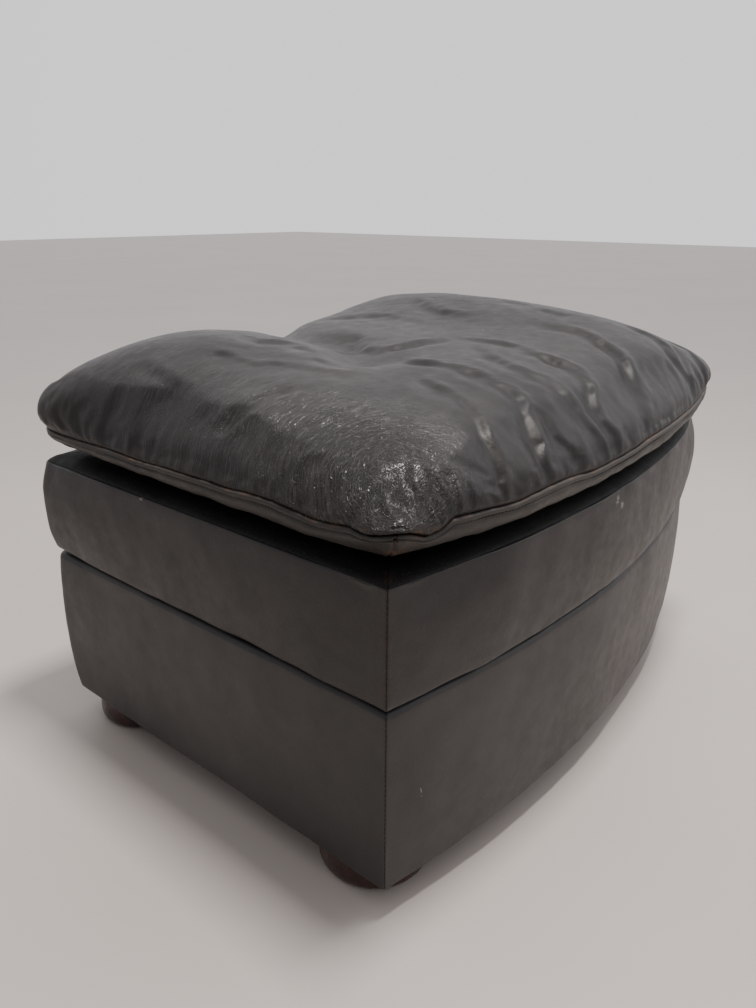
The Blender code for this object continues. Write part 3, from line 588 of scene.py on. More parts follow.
def dressCadNodes():
    dress = {
        "board": plywood, "rail": plywood, "storage_floor": plywood, "lid_deck": plywood,
        "foot_block": plywood,
        "hinge": zincSteel, "bracket": zincSteel, "foot_bolt": zincSteel, "strut_tube": paintedTube,
        "strut_rod": chromeRod, "foot_glide": nylon, "lid_bumper": rubber}
    for name, node in nodes.items():
        for part, material in dress.items():
            if part in name:
                node.data.materials.clear()
                node.data.materials.append(material)
    print("CAD nodes dressed")


# the leather of the box and the lid

boxLeather = {
    "plan": boxPlan, "radii": {"fl": 0.0030, "fr": 0.005, "br": 0.016, "bl": 0.016},
    "topRoll": 0.0070, "bottomRoll": 0.0028, "low": boxBottom, "high": boxTop + 0.00015,
    "bulge": 0.0024, "sway": 0.0019, "pucker": 0.00028, "lip": 0.0010, "thickness": 0.0015, "seed": 3,
    "hang": 0.0016, "slump": 0.0028, "rub": 0.25, "barrel": (0.0060, 0.0, 0.0010),
}
lidLeather = {
    "plan": lidPlan, "radii": {"fl": 0.0030, "fr": 0.006, "br": 0.016, "bl": 0.016},
    "topRoll": 0.0016, "bottomRoll": 0.0078, "low": lidBottom - 0.00015, "high": lidSeam,
    "bulge": 0.0034, "sway": 0.0021, "pucker": 0.00030, "lip": 0.0010, "thickness": 0.0015, "seed": 8,
    "hang": 0.0020, "slump": 0.0, "rub": 0.6, "barrel": (0.0055, 1.0, 0.0030),
}
fineStations = [0, 0.00015, 0.0005, 0.001, 0.0017, 0.0027, 0.004, 0.0058, 0.008, 0.011, 0.015, 0.02]


def rollRows(centreInset, centreZ, radius, start, end, steps):
    # rows round a soft edge: inset, height, and the surface's outward and upward directions
    rows = []
    for turn in np.linspace(start, end, steps + 1):
        out, up = math.cos(turn), math.sin(turn)
        rows.append((centreInset - radius * out, centreZ + radius * up, out, up))
    return rows


def boxProfile(t):
    low, high, top, bottom = t["low"], t["high"], t["topRoll"], t["bottomRoll"]
    rows = [(0.0241, high - 0.0095, -1, 0), (0.0241, high - 0.0040, -1, 0),
            (0.0241, high - 0.0006, -0.8, 0.6),
            (0.0238, high, 0, 1), (0.0200, high, 0, 1), (0.0150, high, 0, 1), (0.0115, high, 0, 1)]
    rows += rollRows(top, high - top, top, math.pi / 2, 0, 8)
    rows += faceRows(high - top, low + bottom)
    rows += rollRows(bottom, low + bottom, bottom, 0, -math.pi / 2, 8)
    rows += [(0.012, low, 0, -1), (0.018, low, 0, -1), (0.026, low, 0, -1), (0.036, low, 0, -1)]
    return rows


def lidProfile(t):
    low, high, top, bottom = t["low"], t["high"], t["topRoll"], t["bottomRoll"]
    rows = [(0.0030, high - 0.0026, -0.6, 0.8), (0.0021, high - 0.0009, 0, 1)]
    rows += rollRows(top, high - top, top, math.radians(80), 0, 6)
    rows += faceRows(high - top, low + bottom)
    rows += rollRows(bottom, low + bottom, bottom, 0, -math.pi / 2, 8)
    rows += [(0.0115, low, 0, -1), (0.0150, low, 0, -1), (0.0200, low, 0, -1), (0.0238, low, 0, -1),
             (0.0241, low + 0.0006, -0.8, -0.6), (0.0241, low + 0.0040, -1, 0), (0.0241, low + 0.0095, -1, 0)]
    return rows


def faceRows(high, low):
    count = int((high - low) / 0.0065)
    rows = []
    for step in range(1, count):
        share = step / count
        rows.append((0, high + (low - high) * share, 1, 0))
    return rows


farCorners = [((-0.36, 0.285), 0.0040), ((0.36, -0.248), 0.0070)]  # each with how far its top may draw in


def plump(points, t):
    # the two far corners of a tier have gone round like a barrel: out in the middle, in at the top and bottom
    out, top, bottom = t["barrel"]
    points = np.array(points, float)
    share = np.clip((points[:, 2] - t["low"]) / (t["high"] - t["low"]), 0, 1)
    for corner, drawIn in farCorners:
        away = np.array(corner) / np.linalg.norm(corner)
        weight = np.exp(-(((points[:, :2] - corner) ** 2).sum(1)) / 0.075**2)
        shape = out * np.sin(math.pi * share) ** 0.7 - top * drawIn * smooth((share - 0.66) / 0.34)
        shape -= bottom * smooth((0.25 - share) / 0.25)
        points[:, :2] += away * (shape * weight)[:, None]
        points[:, 2] -= 0.0030 * top * weight * smooth((share - 0.8) / 0.2)
    return points


def leatherPanel(name, side, t, profile, body, material, replaced):
    # one sewn panel of a tier, from the seam at one corner to the seam at the next
    base = sidePath(t["plan"], side, 0, t["radii"])
    length = np.linalg.norm(np.diff(base, axis=0), axis=1).sum()
    fine, middle = stationsAlong(length, fineStations, 0.0075)
    points, normals, seamDistances, onFace = [], [], [], []
    for inset, z, out, up in profile:
        radii = cornerRadii(t["radii"], inset, 0.0082 if inset > 0.001 else 0)
        row, distance, outward = alongPath(sidePath(t["plan"], side, inset, radii), fine, middle)
        count = len(row)
        points.append(np.column_stack([row, np.full(count, z)]))
        normals.append(np.column_stack([outward * out, np.full(count, up)]))
        seamDistances.append(distance)
        onFace.append(np.full(count, max(out, 0) ** 2))
    rows, columns = len(profile), len(points[0])
    points, normals = np.concatenate(points), np.concatenate(normals)
    distance, onFace = np.concatenate(seamDistances), np.concatenate(onFace)
    # the turned-in edge at each seam, soft waves in the face, and short puckers beside the seams and rolls
    lip = t["lip"]
    turned = np.where(distance < lip, lip - np.sqrt(np.maximum(lip**2 - (lip - distance) ** 2, 0)), 0)
    soft = waves(points, 0.13, t["seed"]) * t["sway"]
    soft += waves(points * (1, 1, 0.8), 0.045, t["seed"] + 2, 2) * 0.0005
    height = np.clip((points[:, 2] - t["low"]) / (t["high"] - t["low"]), 0, 1)
    soft += t["bulge"] * np.sin(math.pi * height) ** 0.8 * (0.3 + 0.7 * smooth(distance / 0.08))
    short = waves(points * (1, 1, 0.8), 0.022, t["seed"] + 1, 2)
    edge = np.exp(-distance / 0.03) + 0.35
    move = soft * smooth(distance / 0.03) * onFace
    move += short * t["pucker"] * edge * onFace * smooth(distance / 0.004)
    points = points + normals * (move - turned * np.maximum(onFace, 0.10))[:, None]
    # the lower edge is never quite straight
    nearEdge = [smooth((z - t["low"]) / 0.012) < 1 and out > -0.1 for _, z, out, _ in profile]
    edgeShare = np.repeat(nearEdge, columns)
    insets = np.repeat([inset for inset, _, _, _ in profile], columns)
    low = np.exp(-((points[:, 2] - t["low"]) / 0.018) ** 2) * smooth((0.0085 - insets) / 0.006) * edgeShare
    points[:, 2] += waves(points * (1, 1, 0), 0.07, t["seed"] + 5, 2) * t["hang"] * low * (insets < 0.0085)
    nearCorner = np.exp(-(((points[:, :2] - (-0.36, -0.235)) ** 2).sum(1)) / 0.10**2)
    points[:, 2] -= t["slump"] * low * nearCorner * (insets < 0.0085)
    points = np.where((insets < 0.0120)[:, None], plump(points, t), points)
    piece = meshPiece(name, points, gridFaces(rows, columns), body, material, replaced)
    # brown rubbing on the corner seams
    rub = np.exp(-distance / 0.006) * t["rub"]
    markPoints(piece, "rub", rub)
    markPoints(piece, "wear", np.zeros(len(points)))
    if not facesOut(piece, normals):
        flip(piece)
    thicken(piece, t["thickness"])
    return piece


def facesOut(piece, normals):
    return (normalsOf(piece) * normals).sum() > 0


def flip(piece):
    shape = bmesh.new()
    shape.from_mesh(piece.data)
    bmesh.ops.reverse_faces(shape, faces=shape.faces)
    shape.to_mesh(piece.data)
    shape.free()


def foamWrap(name, t, profile, body, replaced):
    # the foam just inside a tier's leather, as one closed ring
    loops = []
    picked = [row for row in profile if row[0] <= woodInset]
    for inset, z, out, up in picked:
        inset = inset + 0.0021 * max(out, 0)
        loops.append((min(inset, woodInset - 0.0002), z - 0.0021 * up))
    top, bottom = loops[0][1], loops[-1][1]
    loops += [(woodInset - 0.0001, bottom), (woodInset - 0.0001, top)]
    rows = []
    for inset, z in loops:
        ring = []
        for side in sides:
            path = sidePath(t["plan"], side, inset, cornerRadii(t["radii"], inset, 0.0083))
            row, _, _ = alongPath(path, np.array([0, 0.002, 0.006, 0.012, 0.02]), np.linspace(0, 1, 24)[1:-1])
            ring.append(row[:-1])
        ring = np.concatenate(ring)
        ring = np.column_stack([ring, np.full(len(ring), z)])
        rows.append(plump(ring, t) if inset < woodInset - 0.001 else ring)
    count, columns = len(rows), len(rows[0])
    faces = gridFaces(count, columns, 0, True)
    last = (count - 1) * columns
    faces += [(last + k, last + (k + 1) % columns, (k + 1) % columns, k) for k in range(columns)]
    piece = meshPiece(name, np.concatenate(rows), faces, body, foam, replaced)
    outwards(piece)
    return piece


def panelFlat(t, side, height):
    path = sidePath(t["plan"], side, 0, t["radii"])
    return (round(float(np.linalg.norm(np.diff(path, axis=0), axis=1).sum()) + 0.02, 3), height)


def makeTiers():
    for t, profile, body, material, prefix, wall in (
            (boxLeather, boxProfile(boxLeather), "box", baseLeather, "box", "board"),
            (lidLeather, lidProfile(lidLeather), "lid", bandLeather, "lid", "rail")):
        height = sum(math.dist(a[:2], b[:2]) for a, b in zip(profile, profile[1:]))
        for side in sides:
            panel = leatherPanel(f"{prefix}_{side}_leather", side, t, profile, body, material,
                                 [f"{prefix}_{side}_cover"])
            panelFlat(t, side, round(height + 0.004, 3))
    foamWrap("box_foam_wrap", boxLeather, boxProfile(boxLeather), "box", ["box_padding"])
    foamWrap("lid_foam_wrap", lidLeather, lidProfile(lidLeather), "lid", ["lid_band_padding"])
    print("leather tiers made")


# the lid's top cover, under the cushion, its leather coloured near black as painted shade

deck = {
    "rows": [(0.0038, 0.3488), (0.0026, 0.3502), (0.0017, 0.3513), (0.0014, 0.3521), (0.0022, 0.3530),
             (0.0055, 0.3546), (0.0092, 0.3562), (0.0140, 0.3578), (0.0190, 0.3590), (0.0260, 0.3597),
             (0.0380, 0.3599), (0.0560, 0.3600), (0.0900, 0.3600)],
    "lip": 0.0014, "sway": 0.0007, "thickness": 0.0012,
}


def makeDeck():
    faces, points, distances = [], [], []
    count = 0
    radii = lidLeather["radii"]
    for side in sides:
        base = sidePath(lidPlan, side, 0.002, radii)
        length = np.linalg.norm(np.diff(base, axis=0), axis=1).sum()
        fine, middle = stationsAlong(length, fineStations, 0.009)
        block = []
        for inset, z in deck["rows"]:
            row, distance, _ = alongPath(sidePath(lidPlan, side, inset, cornerRadii(radii, inset, 0)), fine,
                                         middle)
            sunk = np.where(distance < deck["lip"], deck["lip"] - np.sqrt(np.maximum(
                deck["lip"]**2 - (deck["lip"] - distance) ** 2, 0)), 0)
            edgeRow = np.column_stack([row, np.full(len(row), z) - sunk])
            swayed = waves(edgeRow, 0.04, 14, 2) * deck["sway"]
            edgeRow[:, 2] += swayed * smooth((inset - 0.004) / 0.006) * (inset < 0.03)
            block.append(edgeRow)
            distances.append(distance)
        faces += gridFaces(len(block), len(block[0]), count)
        count += len(block) * len(block[0])
        points += block
    piece = meshPiece("lid_top_leather", plump(np.concatenate(points), lidLeather), faces, "lid", deckPaintedShade,
                      ["lid_top_cover", "lid_deck_padding"])
    distances = np.concatenate(distances)
    markPoints(piece, "rub", np.exp(-distances / 0.006) * 0.5)
    markPoints(piece, "wear", np.zeros(len(distances)))
    if normalsOf(piece)[:, 2].sum() < 0:
        flip(piece)
    thicken(piece, deck["thickness"])
    print("lid's top cover made")


# the cushion

cushion = {
    "radii": {"fl": 0.019, "fr": 0.034, "br": 0.018, "bl": 0.042},
    "rise": 0.0815, "fullness": {"left": 3.77, "right": 2.51, "front": 3.55, "back": 4.90},
    "overhang": 0.0040, "farOverhang": 0.0035, "across": 220, "along": 164,
    # soft humps in the top: middle, reach and height
    "lobes": [((-0.249, 0.175), (0.105, 0.150), 0.0197), ((0.2225, 0.091), (0.124, 0.350), 0.0356)],
    "valley": [(-0.03, 0.29), (-0.045, 0.21), (-0.085, 0.125), (-0.092, 0.066), (-0.103, 0.034),
               (-0.135, -0.01),
               (-0.153, -0.04)],
    "valleyDepth": 0.0139, "valleyWidth": 0.036,
}
# folds in the top panel, as lines seen from above, each with its depth and half width in millimetres,
# how much is heaped up beside it, and how worn its crest is
folds = [
    ([(-0.014, -0.049), (0.0, -0.092), (-0.006, -0.141), (-0.015, -0.179), (-0.015, -0.213), (-0.041, -0.243),
      (-0.065, -0.264), (-0.077, -0.282), (-0.061, -0.294)], 4.6, 7.5, 0.65, 0.5),
    ([(-0.035, -0.085), (-0.07, -0.142), (-0.094, -0.19), (-0.088, -0.218), (-0.088, -0.241),
      (-0.103, -0.262),
      (-0.1, -0.279), (-0.089, -0.291)], 3.4, 8.0, 0.6, 0.2),
    ([(-0.122, -0.045), (-0.146, -0.097), (-0.134, -0.125), (-0.138, -0.158), (-0.144, -0.199),
      (-0.151, -0.224),
      (-0.169, -0.245), (-0.188, -0.266), (-0.192, -0.277), (-0.189, -0.284)], 4.6, 7.0, 0.65, 0.7),
    ([(-0.151, -0.232), (-0.146, -0.258), (-0.151, -0.274), (-0.134, -0.284), (-0.13, -0.289)], 3.4, 6.0, 0.6,
     0.2),
    ([(-0.180, -0.120), (-0.198, -0.158), (-0.209, -0.195), (-0.224, -0.224), (-0.24, -0.25),
      (-0.245, -0.264)],
     3.4, 6.5, 0.6, 0.3),
    ([(0.098, -0.081), (0.108, -0.123), (0.117, -0.168), (0.081, -0.212), (0.067, -0.243), (0.044, -0.266),
      (0.023, -0.285), (0.019, -0.294)], 4.2, 8.0, 0.6, 0.3),
    ([(0.211, -0.150), (0.211, -0.207), (0.197, -0.249), (0.199, -0.269), (0.23, -0.280)], 3.4, 8.0, 0.5,
     0.2),
    ([(0.290, -0.170), (0.284, -0.215), (0.292, -0.250), (0.300, -0.266)], 3.0, 7.5, 0.5, 0.2),
    ([(0.151, 0.138), (0.111, 0.071), (0.089, 0.022), (0.098, -0.03)], 4.2, 12.0, 0.6, 0.0),
    ([(-0.05, 0.079), (-0.111, 0.002), (-0.122, -0.045)], 4.5, 10.0, 0.5, 0.0),
    ([(-0.111, -0.012), (-0.085, -0.045), (-0.043, -0.054), (-0.014, -0.049)], 4.2, 8.0, 0.5, 0.1),
    ([(-0.191, 0.119), (-0.199, 0.08), (-0.176, 0.055), (-0.190, -0.010)], 3.2, 8.5, 0.6, 0.1),
    ([(-0.272, 0.032), (-0.25, 0.006), (-0.234, -0.023), (-0.231, -0.062), (-0.215, -0.104)], 3.0, 9.0, 0.6,
     0.1),
    ([(-0.261, 0.09), (-0.26, 0.057), (-0.267, 0.028)], 2.2, 8.0, 0.5, 0.0),
    ([(-0.262, -0.065), (-0.276, -0.06), (-0.3, -0.052), (-0.321, -0.044), (-0.339, -0.032)], 3.2, 6.5, 0.6,
     0.2),
    ([(-0.207, -0.005), (-0.197, -0.03), (-0.207, -0.07)], 2.4, 7.0, 0.5, 0.0),
    ([(0.02, 0.20), (0.045, 0.14), (0.05, 0.08), (0.03, 0.03)], 3.0, 11.0, 0.5, 0.0),
    ([(0.19, 0.03), (0.19, -0.03), (0.16, -0.08), (0.165, -0.14)], 2.6, 9.0, 0.5, 0.1),
    ([(0.27, 0.10), (0.26, 0.03), (0.25, -0.04), (0.262, -0.11)], 2.4, 10.0, 0.5, 0.0),
    ([(-0.30, 0.15), (-0.315, 0.10), (-0.325, 0.04)], 2.0, 8.0, 0.5, 0.1),
    # the pleats gathered into the near corner
    ([(-0.322, -0.222), (-0.326, -0.232), (-0.329, -0.242), (-0.330, -0.256), (-0.331, -0.262)], 2.6, 2.6,
     0.7, 0.2),
    ([(-0.343, -0.236), (-0.345, -0.243), (-0.349, -0.252)], 2.2, 2.4, 0.7, 0.2),
    ([(-0.302, -0.232), (-0.309, -0.243), (-0.311, -0.250), (-0.313, -0.262)], 2.6, 2.8, 0.7, 0.2),
    ([(-0.336, -0.238), (-0.340, -0.245), (-0.341, -0.252), (-0.339, -0.260)], 2.2, 2.3, 0.7, 0.2),
    ([(-0.317, -0.232), (-0.320, -0.243), (-0.321, -0.252), (-0.322, -0.262)], 2.2, 2.4, 0.7, 0.2),
    ([(-0.289, -0.240), (-0.296, -0.251), (-0.300, -0.256), (-0.305, -0.264)], 3.8, 3.4, 0.7, 0.3),
    ([(-0.278, -0.245), (-0.284, -0.256), (-0.287, -0.268)], 2.0, 3.2, 0.6, 0.2),
    ([(-0.350, -0.215), (-0.356, -0.226), (-0.360, -0.236)], 2.0, 2.8, 0.6, 0.3),
]


def crownShare(value, exponent):
    return np.sqrt(np.maximum(1 - np.abs(value) ** exponent, 0))


# how high the cushion's seam runs, in millimetres from its even height: the left by y, the front by x
leftSeam = [(-0.2441, 4.5), (-0.2301, -0.2), (-0.2192, -3.5), (-0.2105, -3.5), (-0.1975, -1.0),
            (-0.1801, -3.2),
            (-0.1584, -4.5), (-0.1367, -3.0), (-0.1128, -1.0), (-0.0867, -1.0), (-0.0606, -2.5),
            (-0.0042, -3.0),
            (0.0371, -4.0), (0.0914, -5.0), (0.1479, -4.0), (0.2200, -5.0), (0.2600, -3.0), (0.2800, -1.0)]
frontSeam = [(-0.3609, 4.5), (-0.3519, 3.2), (-0.3438, -0.2), (-0.3338, -4.5), (-0.3239, -3.5),
             (-0.3160, -1.0),
             (-0.3060, 4.5), (-0.2792, 3.0), (-0.2295, -0.8), (-0.1726, 3.2), (-0.1405, 1.5), (-0.1051, -1.2),
             (-0.0548, -0.5), (-0.0209, -0.5), (0.0288, 3.5), (0.0941, 3.0), (0.1679, 2.0), (0.2101, 2.0),
             (0.36, 0.0)]


def seamSway(x, y):
    # how the cushion's seam wanders up and down round the edge
    points = np.column_stack([x, y, np.full(len(x), 0.1)])
    fromLeft = np.maximum(x + seamPlan["half"], 0)
    fromFront = np.maximum(seamPlan["bow"] - np.hypot(x, y - bowCentreY), 0)
    share = smooth(0.5 + (fromLeft - fromFront) / (0.003 + 0.7 * (fromLeft + fromFront)))
    known = np.interp(y, *zip(*leftSeam)) * (1 - share) + np.interp(x, *zip(*frontSeam)) * share
    fade = np.exp(-np.minimum(fromLeft, fromFront) / 0.035)
    return waves(points, 0.055, 21, 2) * 0.0010 + known / 1000 * fade


def smoothLine(points, count=90, rounds=40):
    line = np.array(points)
    run = np.concatenate([[0], np.cumsum(np.linalg.norm(np.diff(line, axis=0), axis=1))])
    at = np.linspace(0, run[-1], count)
    line = np.stack([np.interp(at, run, line[:, k]) for k in (0, 1)], 1)
    for _ in range(rounds):
        line[1:-1] = (line[:-2] + 2 * line[1:-1] + line[2:]) / 4
    return line


def distanceTo(line, here, reach):
    # for the points near a line: which they are, how far off, and how far along it
    low, high = line.min(0) - reach, line.max(0) + reach
    near = np.where(((here > low) & (here < high)).all(1))[0]
    if not len(near):
        return near, None, None
    gaps = np.linalg.norm(here[near][:, None, :] - line[None], axis=2)
    nearest = gaps.argmin(1)
    return near, gaps[np.arange(len(near)), nearest], nearest / (len(line) - 1)


def foldMove(x, y):
    # the drop into every fold, the rise on one side of it, and the wear on its crest
    move, worn = np.zeros(len(x)), np.zeros(len(x))
    place = np.column_stack([x, y, np.zeros(len(x))])
    atCorner = np.exp(-((x + 0.32) ** 2 + (y + 0.25) ** 2) / 0.05**2)
    stray = (1 - 0.8 * atCorner)[:, None] * 0.0075
    here = np.column_stack([x, y]) + stray * np.column_stack([waves(place, 0.038, 61, 3),
                                                              waves(place, 0.038, 62, 3)])
    strength = np.clip(0.62 + 0.75 * waves(place, 0.045, 63, 2), 0.12, 1.15)
    for line, depth, width, heap, wear in folds:
        depth, width = depth / 1000, width / 1000
        curve = smoothLine(line)
        near, gap, share = distanceTo(curve, here, width * 5)
        if not len(near):
            continue
        # one flank is steep and the other runs out slowly
        index = np.clip((share * (len(curve) - 1)).astype(int), 1, len(curve) - 2)
        ahead = curve[index + 1] - curve[index - 1]
        away = here[near] - curve[index]
        steep = ahead[:, 0] * away[:, 1] - ahead[:, 1] * away[:, 0] > 0
        reach = width * np.where(steep, 0.85, 1.55)
        toSeam = line[-1][1] < -0.25 or line[-1][0] < -0.335
        taper = smooth(share / 0.3) * (1 if toSeam else smooth((1 - share) / 0.3))
        fine = width < 0.005
        amount = taper * (0.55 if fine else strength[near])
        drop = -np.exp(-(gap / reach) ** 2)
        side = heap * np.where(steep, 1.0, 0.3) * np.exp(-((gap - 1.8 * reach) / (0.95 * reach)) ** 2)
        move[near] += (drop + side) * depth * amount
        worn[near] += wear * np.exp(-((gap - 1.5 * reach) / (0.7 * reach)) ** 2) * amount * steep
    return move, worn


def cushionGrid():
    # the seam's outline filled with a grid that is closer near the edges, where the top turns down
    def spread(count):
        return np.sin(np.linspace(-1, 1, count + 1) * math.pi / 2 * 0.985) / math.sin(math.pi / 2 * 0.985)

    across, along = spread(cushion["across"]), spread(cushion["along"])
    borders = {}
    for side in sides:
        path = sidePath(seamPlan, side, 0, cushion["radii"])
        steps = np.linalg.norm(np.diff(path, axis=0), axis=1)
        run = np.concatenate([[0], np.cumsum(steps)])
        values = across if side in ("front", "back") else along
        at = (values + 1) / 2 * run[-1]
        borders[side] = np.stack([np.interp(at, run, path[:, k]) for k in (0, 1)], 1)
    low, high = borders["front"], borders["back"][::-1]
    left, right = borders["left"][::-1], borders["right"]
    s, t = (across + 1) / 2, (along + 1) / 2
    grid = ((1 - t)[:, None, None] * low[None] + t[:, None, None] * high[None]
            + (1 - s)[None, :, None] * left[:, None] + s[None, :, None] * right[:, None])
    corners = ((1 - t)[:, None, None] * ((1 - s)[None, :, None] * low[0] + s[None, :, None] * low[-1])
               + t[:, None, None] * ((1 - s)[None, :, None] * high[0] + s[None, :, None] * high[-1]))
    return grid - corners, across, along


def makeCushionTop():
    c = cushion
    grid, across, along = cushionGrid()
    rows, columns = grid.shape[:2]
    flat = grid.reshape(-1, 2)
    u = np.tile(across, rows)
    v = np.repeat(along, columns)
    full = c["fullness"]
    crownU = crownShare(u, np.where(u < 0, full["left"], full["right"]))
    crownV = crownShare(v, np.where(v < 0, full["front"], full["back"]))
    crown = crownU * crownV
    # the filling is packed hard into the two far corners
    for x0, y0 in ((-0.36, 0.28), (0.36, -0.25)):
        crown = crown ** (1 - 0.42 * np.exp(-((flat[:, 0] - x0) ** 2 + (flat[:, 1] - y0) ** 2) / 0.085**2))
    z = c["rise"] * crown
    for (x0, y0), (reachX, reachY), height in c["lobes"]:
        hump = np.exp(-((flat[:, 0] - x0) / reachX) ** 2 - ((flat[:, 1] - y0) / reachY) ** 2)
        z += height * hump * smooth(crown / 0.8)
    near, gap, _ = distanceTo(smoothLine(c["valley"]), flat, c["valleyWidth"] * 3)
    z[near] -= c["valleyDepth"] * np.exp(-(gap / c["valleyWidth"]) ** 2) * smooth(crown[near] / 0.25)
    z += cushionSeam + seamSway(flat[:, 0], flat[:, 1]) * (1 - smooth(crown / 0.6))
    out = c["overhang"] * np.sin(math.pi * np.clip(crown / 0.75, 0, 1))
    # at the back left corner the filling hangs out a little past the seam
    far = np.exp(-((flat[:, 0] + 0.36) ** 2 + (flat[:, 1] - 0.28) ** 2) / 0.075**2)
    out += c["farOverhang"] * far * np.sin(math.pi * np.clip(crown / 0.60, 0, 1) ** 0.7)
    x = flat[:, 0] + out * np.sign(u) * (1 - crownU)
    y = flat[:, 1] + out * np.sign(v) * (1 - crownV)
    points = np.column_stack([x, y, z])
    piece = meshPiece("cushion_top_leather", points, gridFaces(rows, columns), "lid", cushionLeather,
                      ["cushion_top", "cushion_core"])
    if normalsOf(piece)[:, 2].sum() < 0:
        flip(piece)
    edge = np.ones((rows, columns), bool)
    edge[1:-1, 1:-1] = False
    edge = edge.ravel()
    normals = normalsOf(piece)
    inside = smooth(crown / 0.25)
    # gathers that run in from the seam, closer together than the folds, and slow rolls in the filling
    around = np.arctan2(flat[:, 1] / 0.28, flat[:, 0] / 0.36)
    gatherLine = np.column_stack([np.cos(around) * 4.2, np.sin(around) * 4.2, crown * 0.6])
    gathers = waves(gatherLine, 0.20, 31, 2) * np.exp(-((crown - 0.25) / 0.20) ** 2) * 0.0013
    rolls = waves(points * (1, 0.8, 0.6), 0.105, 33, 2) * 0.0020 * smooth(crown / 0.7)
    drop, worn = foldMove(points[:, 0], points[:, 1])
    move = (drop + rolls) * inside + gathers * smooth(crown / 0.06)
    points = points + normals * move[:, None]
    setPoints(piece, points)
    markPoints(piece, "folds", worn)
    moveAsCloth(piece, edge)
    # the turned-in edge at the seam
    points = pointsOf(piece)
    toward = -points[:, :2]
    toward /= np.maximum(np.linalg.norm(toward, axis=1)[:, None], 1e-6)
    nextRing = np.zeros((rows, columns), bool)
    nextRing[1:-1, 1:-1] = True
    nextRing[2:-2, 2:-2] = False
    points[edge, :2] += toward[edge] * 0.0026
    points[edge, 2] -= 0.0002
    points[nextRing.ravel(), :2] += toward[nextRing.ravel()] * 0.0006
    setPoints(piece, points)
    sub = piece.modifiers.new("finer", "SUBSURF")
    sub.levels = sub.render_levels = 1
    applyModifiers(piece)
    fineWrinkles(piece)
    closeBelow(piece)
    print("cushion top made")


def closeBelow(piece):
    # the filling's underside, out of sight behind the boxing, so that the cushion is a closed body
    shape = bmesh.new()
    shape.from_mesh(piece.data)
    rim = [e for e in shape.edges if e.is_boundary]
    for drop, inset in ((0.010, 0.014), (0.012, 0.020), (0.008, 0.030)):
        made = bmesh.ops.extrude_edge_only(shape, edges=rim)["geom"]
        rim = [e for e in made if isinstance(e, bmesh.types.BMEdge)]
        for vertex in {v for e in rim for v in e.verts}:
            flatPlace = Vector((vertex.co.x, vertex.co.y, 0))
            vertex.co -= flatPlace.normalized() * inset
            vertex.co.z -= drop
    for vertex in {v for e in rim for v in e.verts}:
        vertex.co.z = 0.3640
    bmesh.ops.contextual_create(shape, geom=rim)
    bmesh.ops.recalc_face_normals(shape, faces=shape.faces)
    shape.to_mesh(piece.data)
    shape.free()
    piece.data.shade_smooth()


# the cloth steps on the cushion's top: stiffnesses, pressure, cut larger by this share, and the cap in metres
clothMove = {"steps": 20, "quality": 4, "mass": 0.4, "stretch": 18, "shear": 8, "bend": 2.5, "pressure": 4,
             "shrink": -0.018, "cap": 0.006}


def moveAsCloth(piece, edge):
    # The leather moves as cloth held at its seam, and the cap then limits how far. It isn't at rest after
    # these steps: over half of the points reach the cap, so this is the placed shape pushed out by up to it.
    start = pointsOf(piece).copy()
    group = piece.vertex_groups.new(name="held")
    group.add([int(i) for i in np.where(edge)[0]], 1.0, "REPLACE")
    cloth = piece.modifiers.new("settle", "CLOTH")
    settings = cloth.settings
    settings.quality = clothMove["quality"]
    settings.mass = clothMove["mass"]
    settings.tension_stiffness = settings.compression_stiffness = clothMove["stretch"]
    settings.shear_stiffness = clothMove["shear"]
    settings.bending_stiffness = clothMove["bend"]
    settings.use_pressure = True
    settings.uniform_pressure_force = clothMove["pressure"]
    settings.shrink_min = clothMove["shrink"]
    settings.vertex_group_mass = "held"
    settings.effector_weights.gravity = 0
    cloth.collision_settings.use_collision = False
    cloth.point_cache.frame_end = clothMove["steps"]
    scene = bpy.context.scene
    for number in range(1, clothMove["steps"] + 1):
        scene.frame_set(number)
    evaluated = piece.evaluated_get(bpy.context.evaluated_depsgraph_get())
    moved = np.zeros(len(piece.data.vertices) * 3)
    evaluated.data.vertices.foreach_get("co", moved)
    moved = moved.reshape(-1, 3)
    piece.modifiers.remove(cloth)
    scene.frame_set(1)
    shift = moved - start
    size = np.linalg.norm(shift, axis=1)
    shift *= np.minimum(1, clothMove["cap"] / np.maximum(size, 1e-9))[:, None]
    setPoints(piece, start + shift)
    print("cushion top moved as cloth by up to", round(float(size.max()) * 1000, 1), "mm, then capped at",
          clothMove["cap"] * 1000, "mm")


